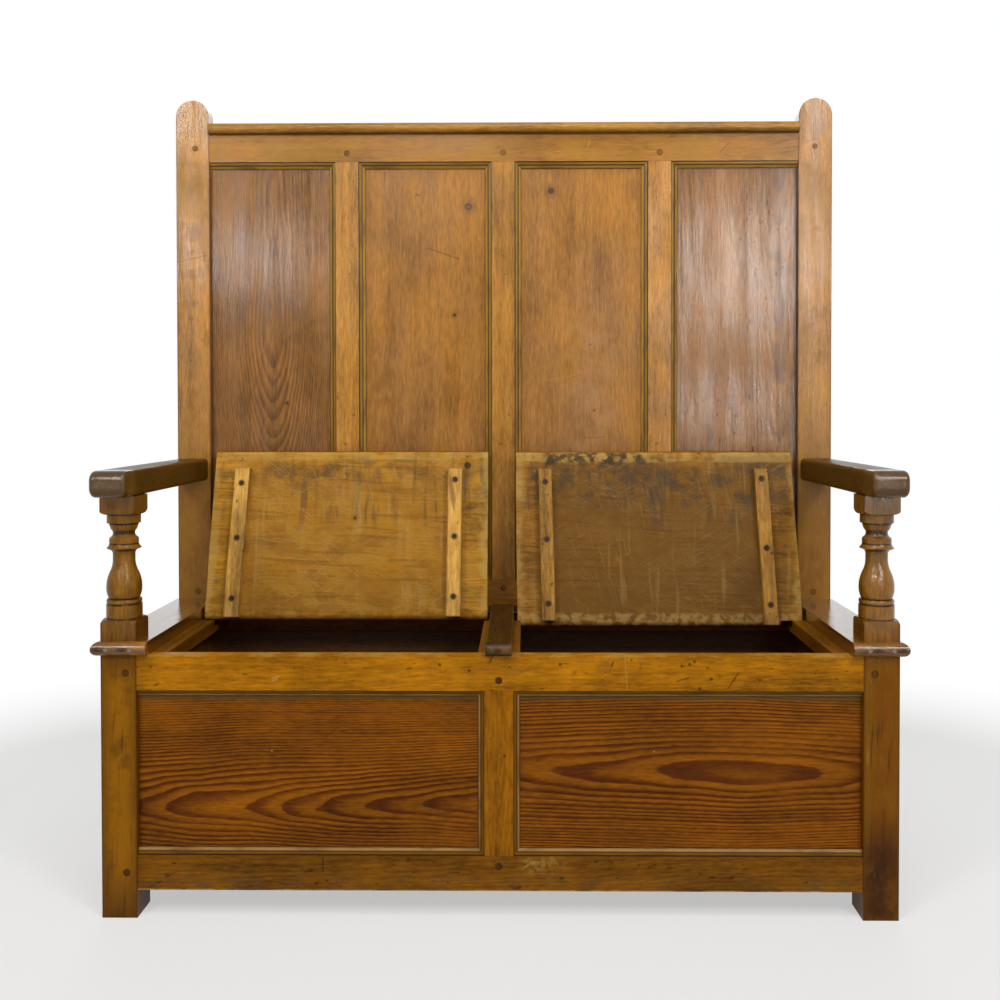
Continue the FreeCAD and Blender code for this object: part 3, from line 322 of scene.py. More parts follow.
def bare_colour(g, look, at, fibre, streak, cloud):
    """Colour of the wood before any mark."""
    late_wood = ring_figure(g, look, at)
    patch = g.pattern(at, **PATCH)
    contrast = g.weigh(look.contrast * PLAIN_CONTRAST, (patch, look.contrast * PATCH_CONTRAST))
    colour = g.mix(g.times(late_wood, contrast), look.early, look.late)
    if look.blush:
        colour = g.mix(g.times(patch, BLUSH_SHARE), colour, look.blush)
    shade = g.weigh(1 - look.fibre - look.streaks - look.cloud,
                    (fibre, 2 * look.fibre), (streak, 2 * look.streaks), (cloud, 2 * look.cloud))
    colour = g.mix(1.0, colour, g.vector(shade, shade, shade), "MULTIPLY")
    if look.specks:
        colour = g.mix(g.times(g.pattern(at, **SPECK), look.specks), colour, DARK)
    return colour


def polish(g, look, at, shader, fibre, streak):
    """A coat over the wood, on one end only and worn in patches where the look says so."""
    coat = look.coat
    if look.coat_worn:
        coat = g.weigh(look.coat * RUBBED_COAT, (g.pattern(at, **RUBBED), look.coat))
    if look.coat_span:
        coat = g.times(g.step(at.along, *look.coat_span), coat)
    grooves = g.weigh(g.times(streak, STREAK_GROOVES), (fibre, FIBRE_GROOVES))
    for name, value in (("Weight", coat), ("Roughness", look.coat_rough), ("IOR", look.coat_ior),
                        ("Normal", g.bump(grooves, COAT_RELIEF))):
        g.feed(shader.inputs["Coat " + name], value)


def wood(name, centre, turn, grain, face, look, seed, size):
    """Material of one solid board: growth rings round a pith, cut through in all three directions."""
    material = bpy.data.materials.new(name)
    g = Graph(material)
    where = {"Vector": g.position(), "Location": centre, "Rotation": (turn, 0, 0)}
    local = g.add("ShaderNodeMapping", where, vector_type="TEXTURE").outputs[0]
    parts = g.add("ShaderNodeSeparateXYZ", {0: local}).outputs
    order = [AXES.index(axis) for axis in (grain, side_axis(grain, face), face)]
    at = Place(g, [parts[axis] for axis in order], [size[axis] for axis in order], seed)

    fibre, streak, cloud = [g.pattern(at, **pattern) for pattern in (FIBRE, STREAK, CLOUD)]
    bare = bare_colour(g, look, at, fibre, streak, cloud)
    colour = bare
    for mark in look.marks:
        colour = mark(g, colour, at)
    roughness = g.weigh(look.rough - ROUGH_MIDDLE, (streak, STREAK_ROUGH), (cloud, CLOUD_ROUGH))
    if look.top:
        face_depth = at.size[2] / 2
        upper = g.step(at.depth, face_depth - TOP_SKIN, face_depth - TOP_SKIN / 2)
        colour = g.mix(upper, colour, g.mix(1.0, bare, look.top, "MULTIPLY"))
        roughness = g.weigh(roughness, (upper, TOP_SMOOTHER))
    relief = g.weigh(g.times(streak, STREAK_RELIEF), (cloud, CLOUD_RELIEF), (fibre, FIBRE_RELIEF))
    shader = g.add("ShaderNodeBsdfPrincipled", {
        "Base Color": colour, "Roughness": roughness, "Normal": g.bump(relief, WOOD_RELIEF),
        "Specular IOR Level": look.shine})
    if look.coat:
        polish(g, look, at, shader, fibre, streak)
    g.show(shader)
    return material


# Which edges of a board a mark keeps to, low then high
BOTH = (1, 1)
NEITHER = (0, 0)
LOW = (1, 0)
HIGH = (0, 1)

# Fields of marks are (along from, along to, across from, across to)
ALL_OVER = (-1, 1, -1, 1)

# Cycles a metre of the noise that makes the rims of marks ragged
KNOT_GRAIN = 300
SCRATCH_GRAIN = 160
RIM_GRAIN = 35
MOULDING_GRAIN = 60

# Knots, in shares of their size: where each layer starts, where it is full, and how strong it is
KNOT_RAG = 0.25
KNOT_HALO = (3.0, 0.8, 0.35)
KNOT_DISC = (1.0, 0.75, 0.85)
KNOT_HEART = (0.6, 0.35, 0.8)


def spots(places, reach, colour, amount, stretch=1.0, hard=0.4, on_edge=False):
    """Round or stretched marks, each at (along, across) or (along, across, reach), or on the board's edge
    at (along, depth)."""
    def mark(g, base, at):
        point = g.vector(at.along, at.depth, 0.0) if on_edge else at.point
        point = g.vector_math("MULTIPLY", point, (1 / stretch, 1, 0))
        dabs = []
        for along, across, *own_reach in places:
            size = own_reach[0] if own_reach else reach
            gap = g.vector_math("DISTANCE", point, (along / stretch, across, 0))
            dabs.append(g.step(gap, size, size * hard))
        return g.mix(g.times(g.fold("MAXIMUM", dabs), amount), base, colour)
    return mark


def knot(along, across, size, colour=DARK, heart=None):
    """A knot with a dark rim and a soft halo."""
    def mark(g, base, at):
        flat = g.vector_math("MULTIPLY", at.point, (1, 1, 0))
        gap = g.vector_math("DISTANCE", flat, (along, across, 0))
        gap = g.add_up(gap, g.sway(g.stretched(at, KNOT_GRAIN, KNOT_GRAIN), size * KNOT_RAG))
        shown = base
        for (start, full, amount), tone in ((KNOT_HALO, colour), (KNOT_DISC, colour), (KNOT_HEART, heart)):
            if tone:
                shown = g.mix(g.times(g.step(gap, size * start, size * full), amount), shown, tone)
        return shown
    return mark


def scratches(lines, width, colour, amount, rag=0.5):
    """Straight scratches, each from (along, across) to (along, across)."""
    def mark(g, base, at):
        flat = g.vector_math("MULTIPLY", at.point, (1, 1, 0))
        gaps = []
        for start, end in lines:
            run = Vector((*end, 0)) - Vector((*start, 0))
            off = g.vector_math("SUBTRACT", flat, (*start, 0))
            reached = g.vector_math("DOT_PRODUCT", off, run)
            share = g.math("MULTIPLY", reached, 1 / run.length_squared, clamp=True)
            foot = g.vector_math("MULTIPLY", g.vector(share, share, share), run)
            gaps.append(g.vector_math("DISTANCE", off, foot))
        wander = g.sway(g.stretched(at, SCRATCH_GRAIN, SCRATCH_GRAIN), width * rag, detail=3.0)
        cover = g.step(g.add_up(g.fold("MINIMUM", gaps), wander), width, 0.0)
        return g.mix(g.times(cover, amount), base, colour)
    return mark


def inside(g, at, field, soft, wander=None):
    """1 well inside a field, 0 outside it."""
    covers = []
    for value, low, high in ((at.along, *field[:2]), (at.across, *field[2:])):
        gap = g.math("ABSOLUTE", g.math("SUBTRACT", value, (low + high) / 2))
        if wander is not None:
            gap = g.add_up(gap, wander)
        half = (high - low) / 2
        covers.append(g.step(gap, half + soft, half - soft))
    return g.times(*covers)


# Scuffs: how their strokes bend, the patches they come in, and how softly their field ends
BEND_GRAIN = 9
BEND = 0.006
SCUFF_PATCH = dict(along=8, across=8, low=0.38, high=0.6)
SCUFF_SHIFT = 7.0
FIELD_SOFT = 0.02


def scuffs(colour, amount, angle=0.0, long=9, fine=170, low=0.62, high=0.72, field=None, salt=0.0):
    """Scattered scratches or smears that run at an angle to the grain, kept to a field if one is given."""
    def mark(g, base, at):
        turned = g.add("ShaderNodeVectorRotate", {"Vector": at.point, "Angle": -angle},
                       rotation_type="Z_AXIS").outputs[0]
        bend = g.sway(g.stretched(at, BEND_GRAIN, BEND_GRAIN, salt), BEND * fine)
        strokes = g.vector_math("MULTIPLY_ADD", turned, (long, fine, fine), g.vector(salt, bend, at.seed))
        cover = g.times(g.step(g.noise(strokes), low, high), amount)
        cover = g.times(cover, g.pattern(at, shift=salt + SCUFF_SHIFT, **SCUFF_PATCH))
        if field:
            cover = g.times(cover, inside(g, at, field, FIELD_SOFT))
        return g.mix(cover, base, colour)
    return mark


PATCH_CLOUDS = dict(detail=4.0, roughness=0.6, shift=5.0)
CLOUDS_FINER = 1.6


def stain_and_painted_light(field, colour, amount, soft=0.02, rag=0.02, low=0.3, high=0.6, scale=18):
    """A cloudy patch inside a field on the board, with a ragged rim, used for stains and also for painted
    shade, a painted shadow line and a painted highlight.
    """
    def mark(g, base, at):
        cover = inside(g, at, field, soft, g.sway(g.stretched(at, scale, scale), rag, detail=3.0))
        clouds = g.pattern(at, scale * CLOUDS_FINER, scale * CLOUDS_FINER, low, high, **PATCH_CLOUDS)
        return g.mix(g.times(g.times(cover, clouds), amount), base, colour)
    return mark


def from_edge(g, value, size, edges):
    """How far a point is from the low edge, from the high edge, or from the nearer of both."""
    if all(edges):
        return g.math("SUBTRACT", size / 2, g.math("ABSOLUTE", value))
    return g.math("MULTIPLY_ADD", value, 1.0 if edges == LOW else -1.0, size / 2)


RIM_PATCH = dict(along=22, across=22, detail=4.0, roughness=0.65, shift=9.0)


def rim(width, colour, amount, ends=BOTH, sides=BOTH, rag=0.4, patchy=None, soft=0.75):
    """Tints the board near its ends along the grain and its sides across it."""
    def mark(g, base, at):
        gaps = [from_edge(g, value, size, edges)
                for value, size, edges in ((at.along, at.size[0], ends), (at.across, at.size[1], sides))
                if any(edges)]
        wander = g.sway(g.stretched(at, RIM_GRAIN, RIM_GRAIN), width * rag, detail=4.0)
        gap = g.add_up(g.fold("MINIMUM", gaps), wander)
        cover = g.times(g.step(gap, width, width * (1 - soft)), amount)
        if patchy:
            low, high = patchy
            cover = g.times(cover, g.pattern(at, low=low, high=high, **RIM_PATCH))
        return g.mix(cover, base, colour)
    return mark


# Bands: shares of the half width where a band starts and is full, and its patches
BAND_START = 1.6
BAND_FULL = 0.5
BAND_PATCH = dict(along=40, across=60, low=0.2, high=0.5, shift=2.0)


def bands(places, colour, amount):
    """Bands across the grain, each at (along, half width)."""
    def mark(g, base, at):
        dabs = []
        for along, half in places:
            gap = g.math("ABSOLUTE", g.math("SUBTRACT", at.along, along))
            dabs.append(g.step(gap, half * BAND_START, half * BAND_FULL))
        cover = g.times(g.fold("MAXIMUM", dabs), amount)
        return g.mix(g.times(cover, g.pattern(at, **BAND_PATCH)), base, colour)
    return mark


# Mouldings from the edge inwards, in shares of their width, as (0 here, 1 here); the bright edge by the
# panel is a painted highlight, and the hollow and the dark lines are painted shade
MOULDING_SWAY = 0.03
LIP_HIGHLIGHT = (0.42, 0.34)
HOLLOW_START = (0.34, 0.44)
HOLLOW_END = (0.66, 0.54)
EDGE_LINE = (0.1, 0.0)
BEAD_LINE = (0.84, 0.94)
MOULDING_END = (1.06, 1.0)
HOLLOW_SHADE = 0.85
MOULDING_DIRT = dict(along=14, across=60, low=0.45, high=0.7, detail=4.0, shift=3.0)
DIRT_DARK = 0.5


def moulding_shading_and_dirt(width, bead, lip_highlight, sides=BOTH):
    """Moulded sides of a rail or muntin, with light and shade painted on: a darker tone with a bead in a
    quirk, a painted highlight by the panel, painted shade in the hollow and in dark lines at both edges, and
    patches of dirt.
    """
    def mark(g, base, at):
        edge = from_edge(g, at.across, at.size[1], sides)
        wander = g.sway(g.stretched(at, MOULDING_GRAIN, MOULDING_GRAIN), MOULDING_SWAY)
        share = g.math("ADD", g.times(edge, 1 / width), wander)
        hollow = g.times(g.step(share, *HOLLOW_START), g.step(share, *HOLLOW_END))
        shown = g.mix(g.step(share, *LIP_HIGHLIGHT), bead, lip_highlight)
        for dark in (g.times(hollow, HOLLOW_SHADE), g.step(share, *EDGE_LINE), g.step(share, *BEAD_LINE),
                     g.times(g.pattern(at, **MOULDING_DIRT), DIRT_DARK)):
            shown = g.mix(dark, shown, QUIRK_SHADE_AND_DIRT)
        return g.mix(g.step(share, *MOULDING_END), base, shown)
    return mark


SHARP_ANGLE = math.radians(35)
FLAT_ANGLE = math.radians(0.4)
WELD = 1e-6
BEVEL_SEGMENTS = 2

# Widths of the softened arrises
ARRIS = 0.0012
SOFT_ARRIS = 0.0015
ROUND_ARRIS = 0.002


def dress(node, material, softness=ARRIS, flat=True):
    """A copy of a CAD node with softened arrises and its own material, shown in its place."""
    source = NODES[node]
    mesh = source.data.copy()
    work = bmesh.new()
    work.from_mesh(mesh)
    bmesh.ops.remove_doubles(work, verts=work.verts, dist=WELD)
    if flat:
        bmesh.ops.dissolve_limit(work, angle_limit=FLAT_ANGLE, verts=work.verts, edges=work.edges)
    for polygon in work.faces:
        polygon.smooth = True
        polygon.material_index = 0
    work.to_mesh(mesh)
    work.free()
    if "custom_normal" in mesh.attributes:
        mesh.attributes.remove(mesh.attributes["custom_normal"])
    mesh.set_sharp_from_angle(angle=SHARP_ANGLE)
    mesh.materials.clear()
    mesh.materials.append(material)
    piece = bpy.data.objects.new(node + "_shown", mesh)
    scene.collection.objects.link(piece)
    if softness:
        bevel = piece.modifiers.new("softened", "BEVEL")
        bevel.width = softness
        bevel.segments = BEVEL_SEGMENTS
        bevel.limit_method = "ANGLE"
        bevel.angle_limit = SHARP_ANGLE
        bevel.use_clamp_overlap = True
        normals = piece.modifiers.new("flat_faces", "WEIGHTED_NORMAL")
        normals.keep_sharp = True
    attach(piece, source["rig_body"])
    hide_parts(node)


def shaded(colours, share):
    """The same colours, darker."""
    return tuple(tuple(channel * share for channel in tone) for tone in colours)


# Colours of the wood: early wood, late wood
HONEY = ((0.44, 0.19, 0.022), (0.29, 0.105, 0.009))
GOLD = ((0.46, 0.2, 0.024), (0.31, 0.115, 0.009))
DULL_GOLD = shaded(GOLD, 0.86)
RAIL = ((0.34, 0.138, 0.011), (0.23, 0.08, 0.004))
CREST = ((0.38, 0.18, 0.022), (0.26, 0.1, 0.01))
TAN = ((0.37, 0.152, 0.015), (0.26, 0.092, 0.006))
ROSY = ((0.31, 0.133, 0.028), (0.16, 0.062, 0.017))
DEEP_ROSY = ((0.28, 0.115, 0.015), (0.15, 0.053, 0.008))
FLAME = ((0.235, 0.072, 0.001), (0.088, 0.019, 0.0005))
OCHRE = ((0.385, 0.146, 0.0012), (0.27, 0.09, 0.0008))
BROWN = ((0.3, 0.108, 0.001), (0.19, 0.06, 0.0006))
UMBER = ((0.18, 0.067, 0.0012), (0.105, 0.032, 0.0008))
TURNED = ((0.26, 0.105, 0.004), (0.145, 0.05, 0.002))
DARK_TURNED = shaded(TURNED, 0.68)
TREACLE = ((0.036, 0.0145, 0.0), (0.014, 0.005, 0.0))
CAP_STRIP = ((0.04, 0.016, 0.001), (0.02, 0.006, 0.001))
END_BOARD = ((0.2, 0.082, 0.01), (0.11, 0.038, 0.004))
NOSING = ((0.26, 0.105, 0.012), (0.12, 0.04, 0.004))
KHAKI = ((0.41, 0.185, 0.012), (0.27, 0.1, 0.004))
DULL_KHAKI = ((0.3, 0.13, 0.014), (0.2, 0.075, 0.006))
PALE = ((0.47, 0.23, 0.04), (0.31, 0.13, 0.018))
BRIGHT = ((0.6, 0.32, 0.065), (0.38, 0.17, 0.026))
# painted shade: the boards inside and under the box, darkened for the shade in it
INSIDE_SHADE = ((0.15, 0.058, 0.005), (0.09, 0.03, 0.002))
DARK_PEG = shaded(UMBER, 0.5)
PALE_PEG = shaded(RAIL, 0.7)

# Second colours in patches
PINK_TAN = (0.4, 0.175, 0.038)
RAIL_BLUSH = (0.35, 0.145, 0.02)
PANEL_BLUSH = (0.32, 0.142, 0.036)
MUNTIN_BLUSH = (0.44, 0.205, 0.04)
PALE_BLUSH = (0.49, 0.245, 0.095)
TURNED_BLUSH = (0.27, 0.115, 0.008)
ARM_BLUSH = (0.062, 0.026, 0.0)

# Stains, dirt and wear, and colours of painted shade and a painted highlight
VIOLET = (0.15, 0.08, 0.055)
# painted highlight, a pinkish haze on the inner right panel
PINK_HIGHLIGHT = (0.46, 0.235, 0.095)
OLIVE = (0.21, 0.088, 0.0025)
OLIVE_GOLD = (0.36, 0.17, 0.01)
# a grey-green band along the top edge of the front panels, under the rail
GREY_GREEN_LINE = (0.09, 0.072, 0.02)
GREY_GRIME = (0.075, 0.046, 0.02)
BLACK_STAIN = (0.016, 0.011, 0.008)
IRON_STAIN = (0.055, 0.032, 0.016)
FOOT_DIRT = (0.045, 0.015, 0.004)
# painted shade, for a band at the foot of the turning on the front posts
COLLAR_SHADE = (0.12, 0.045, 0.012)
KNOT_RED = (0.17, 0.1, 0.05)
KNOT_BROWN = (0.05, 0.03, 0.02)
KNOT_BLACK = (0.035, 0.022, 0.014)
STRAW = (0.58, 0.36, 0.09)
CHALKY = (0.5, 0.32, 0.1)
BRIGHT_ARRIS = (0.5, 0.28, 0.05)
ARM_WEAR = (0.2, 0.09, 0.01)
STRIP_WEAR = (0.24, 0.12, 0.03)
LEG_WEAR = {"left": (0.33, 0.125, 0.001), "right": (0.19, 0.056, 0.0008)}

# Tints of the lids' upper faces, and metals
GREY_TINT = (0.8, 0.66, 0.6)
WARM_TINT = (1.05, 0.9, 0.55)
DARK_IRON = (0.05, 0.03, 0.018)
WORN_IRON = (0.24, 0.2, 0.15)
PIN_STEEL = (0.03, 0.026, 0.022)

# Mouldings, whose colours hold a painted highlight, widths of the painted shadow lines round panels, and
# grooves of the turning, darkened with grime and painted shade, as (along, half width)
BACK_MOULDING = dict(width=0.0135, bead=(0.27, 0.135, 0.004), lip_highlight=(0.46, 0.24, 0.035))
FRONT_MOULDING = dict(width=0.0105, bead=(0.19, 0.078, 0.002), lip_highlight=(0.36, 0.19, 0.055))
OUTER_PANEL_SHADOW_LINE = 0.0135
PANEL_SHADOW_LINE = 0.0125
SIDE_PANEL_SHADOW_LINE = 0.012
TURNED_GROOVES = ((0.136, 0.0015), (0.1601, 0.0014), (0.169, 0.0018), (0.2535, 0.0022), (0.2631, 0.0013),
                  (0.282, 0.0035), (0.2978, 0.0016), (0.314, 0.0015))

ENDS = ("left", "right")
BOARDS = {}
FASTENER_PLACES = {}


def board(node, grain, face, look, slot="waxed_pine", softness=ARRIS, flat=True):
    """Notes how a CAD board is shown: the axes of its grain and its face, its look, slot and arrises."""
    BOARDS[node] = (grain, face, look, slot, softness, flat)


def list_back():
    """Posts, rails, panels and muntins of the back."""
    cut_lines = {"left": [((0.418, -0.034), (0.433, 0.03))], "right": [((0.3, 0.033), (0.335, 0.033))]}
    dents = {"left": [(0.722, -0.023, 0.008), (0.339, -0.015, 0.003), (0.216, -0.006, 0.003)],
             "right": [(0.123, 0.024, 0.003), (0.5, -0.03, 0.003), (0.36, 0.02, 0.002)]}
    for end in ENDS:
        board(f"back_post_{end}", "z", "y", Look(
            HONEY, contrast=0.2, pith=(0.01, 0.09), blush=PINK_TAN,
            coat=0.4, coat_rough=0.16, coat_span=(-0.1, 0.2), coat_worn=True, marks=(
                stain_and_painted_light((0.2, 0.7, -0.04, 0.04), UMBER[0], 0.55, soft=0.05, low=0.5, high=0.62, scale=14),
                scratches(cut_lines[end], 0.0012, DARK, 0.9),
                spots(dents[end], 0.004, DARK, 0.55),
                # painted shade: the post is darkened below the arms, towards the floor
                stain_and_painted_light((-0.75, -0.02, -0.04, 0.04), UMBER[0], 0.95, soft=0.15, low=0.1, high=0.55),
                stain_and_painted_light(ALL_OVER, OLIVE_GOLD, 0.5, low=0.42, high=0.6, scale=8),
                stain_and_painted_light((0.55, 0.62, -0.03, 0.03), OLIVE, 0.4),
                rim(0.004, UMBER[1], 0.5, ends=NEITHER))), softness=ROUND_ARRIS)
    list_back_panels()
    board("back_top_rail", "x", "y", Look(
        RAIL, contrast=0.25, pith=(0.05, 0.09), blush=RAIL_BLUSH, rough=0.28, marks=(
            scratches([((0.446, -0.006), (0.464, 0.017)), ((0.464, 0.017), (0.467, 0.01))], 0.001,
                      DARK, 0.75),
            scratches([((0.171, 0.0), (0.179, 0.021))], 0.002, STRAW, 0.5),
            stain_and_painted_light(ALL_OVER, OLIVE_GOLD, 0.6, low=0.42, high=0.6, scale=8),
            scuffs(UMBER[0], 0.7, angle=0.2, long=20, fine=90, low=0.5, high=0.66,
                   field=(0.54, 0.61, -0.01, 0.03)),
            moulding_shading_and_dirt(sides=LOW, **BACK_MOULDING),
            rim(0.004, UMBER[0], 0.6, ends=NEITHER, sides=HIGH))))
    board("crest_capping", "x", "y", Look(
        CREST, pith=(0.05, 0.05), rough=0.24, marks=(rim(0.003, UMBER[1], 0.6, ends=NEITHER),)))
    board("back_seat_rail", "x", "y", Look(
        TAN, pith=(0.05, 0.09), marks=(moulding_shading_and_dirt(sides=HIGH, **BACK_MOULDING),)))
    board("back_bottom_rail", "x", "y", Look(INSIDE_SHADE, rough=0.6))
    board("lower_back_muntin", "z", "y", Look(INSIDE_SHADE, rough=0.6), "bare_pine")
    for where, colours, blush, pith_across in (
            ("left", GOLD, MUNTIN_BLUSH, 0.03), ("centre", DULL_GOLD, None, 0.01),
            ("right", GOLD, PALE_BLUSH, -0.01)):
        board(f"back_muntin_{where}", "z", "y", Look(
            colours, contrast=0.2, pith=(pith_across, 0.09), blush=blush, marks=(
                spots([(0.2, 0.004), (-0.09, 0.012, 0.004), (-0.15, -0.006, 0.005), (0.05, -0.015, 0.002)],
                      0.0025, UMBER[0], 0.7),
                moulding_shading_and_dirt(**BACK_MOULDING))))


def list_back_panels():
    """The four upper panels, each with its own figure and marks, and the two lower ones."""
    outer = {
        "left": dict(colours=DEEP_ROSY, coat=0.3, pith=(0.004, 0.03), tilt=-0.06, bow=0.09, crown=0.05,
                     contrast=0.8, ring=0.0052),
        "right": dict(colours=ROSY, coat=0.45, pith=(0.087, 0.055), tilt=-0.045, contrast=0.55, ring=0.0042)}
    dabs = [(0.273, 0.008), (0.294, 0.101), (-0.06, -0.038), (-0.143, -0.034), (0.2, 0.081),
            (0.15, 0.06), (0.31, 0.045), (-0.09, -0.04), (0.215, 0.095)]
    worn = [scuffs(UMBER[1], 0.95, angle=0.2, long=60, fine=130, low=low, high=high, field=field, salt=salt)
            for low, high, field, salt in ((0.63, 0.665, (0.08, 0.38, 0.0, 0.11), 3.0),
                                           (0.64, 0.675, (-0.25, 0.0, -0.06, 0.05), 4.0))]
    outer_marks = {
        "left": (
            knot(-0.065, 0.033, 0.003),
            scuffs(DARK, 0.5, angle=0.5, long=30, fine=120, low=0.64, high=0.7,
                   field=(0.27, 0.33, -0.07, 0.07)),
            stain_and_painted_light((0.18, 0.32, -0.05, 0.03), ROSY[0], 0.3)),
        "right": (
            stain_and_painted_light((-0.02, 0.45, 0.072, 0.104), VIOLET, 0.55, soft=0.012, rag=0.012),
            spots(dabs, 0.0032, UMBER[1], 0.9, stretch=1.6),
            *worn,
            # painted shadow line where the panel meets the right post
            stain_and_painted_light((-1, 1, 0.117, 0.16), DARK, 0.85, soft=0.003, rag=0.003, low=0.05, high=0.3),
            scratches([((-0.07, -0.086), (-0.039, -0.025)), ((0.252, -0.023), (0.211, -0.023))], 0.0009,
                      DARK, 0.6))}
    inner_marks = {
        "left": (
            knot(0.341, 0.089, 0.0085, KNOT_BROWN, KNOT_RED),
            knot(0.117, 0.06, 0.0035),
            scratches([((0.256, 0.004), (0.233, 0.069))], 0.0016, DARK, 0.75),
            scratches([((0.283, -0.045), (0.235, -0.039))], 0.001, UMBER[1], 0.6),
            spots([(0.366, -0.018), (0.365, -0.014, 0.003), (0.37, 0.05, 0.002)], 0.003, UMBER[1], 0.7),
            stain_and_painted_light((-0.08, 0.0, -0.11, -0.06), UMBER[0], 0.5)),
        "right": (
            knot(0.373, -0.062, 0.0075, KNOT_BLACK),
            # painted highlight: a pinkish haze over the lower part of this panel
            stain_and_painted_light((-0.2, 0.12, -0.03, 0.075), PINK_HIGHLIGHT, 0.6, soft=0.06, low=0.3, high=0.65),
            spots([(0.055, 0.019), (0.06, 0.006, 0.002), (-0.08, 0.027), (0.048, 0.028, 0.002),
                   (-0.02, 0.045, 0.002)], 0.003, UMBER[1], 0.7),
            scratches([((-0.138, 0.008), (-0.136, 0.048)), ((-0.078, 0.022), (-0.084, 0.027)),
                       ((-0.084, 0.027), (-0.077, 0.032))], 0.001, DARK, 0.6),
            scratches([((-0.018, -0.069), (-0.008, -0.012))], 0.0014, STRAW, 0.35))}
    # painted shadow lines where the panels go into their frames, and a wider band of painted shade and grime
    # round each panel
    outer_shade_rims = (rim(OUTER_PANEL_SHADOW_LINE, DARK, 0.75, rag=0.25), rim(0.03, UMBER[1], 0.3, rag=0.5))
    inner_shade_rims = (rim(PANEL_SHADOW_LINE, DARK, 0.7, rag=0.25), rim(0.03, UMBER[0], 0.25, rag=0.5))
    for end in ENDS:
        board(f"back_panel_outer_{end}", "z", "y", Look(
            wave=0.005, specks=0.2, rough=0.24, shine=0.15, cloud=0.28, streaks=0.22, coat_rough=0.15,
            coat_worn=True, marks=outer_marks[end] + outer_shade_rims, **outer[end]), "pitch_pine", softness=0)
        board(f"back_panel_inner_{end}", "z", "y", Look(
            TAN, ring=0.007, contrast=0.2, pith=(0.02, 0.07), tilt=0.05, wave=0.012, blush=PANEL_BLUSH,
            rough=0.32, specks=0.15, cloud=0.22, streaks=0.12, marks=inner_marks[end] + inner_shade_rims),
            softness=0)
        board(f"lower_back_panel_{end}", "x", "y", Look(INSIDE_SHADE, rough=0.6), "bare_pine", softness=0)


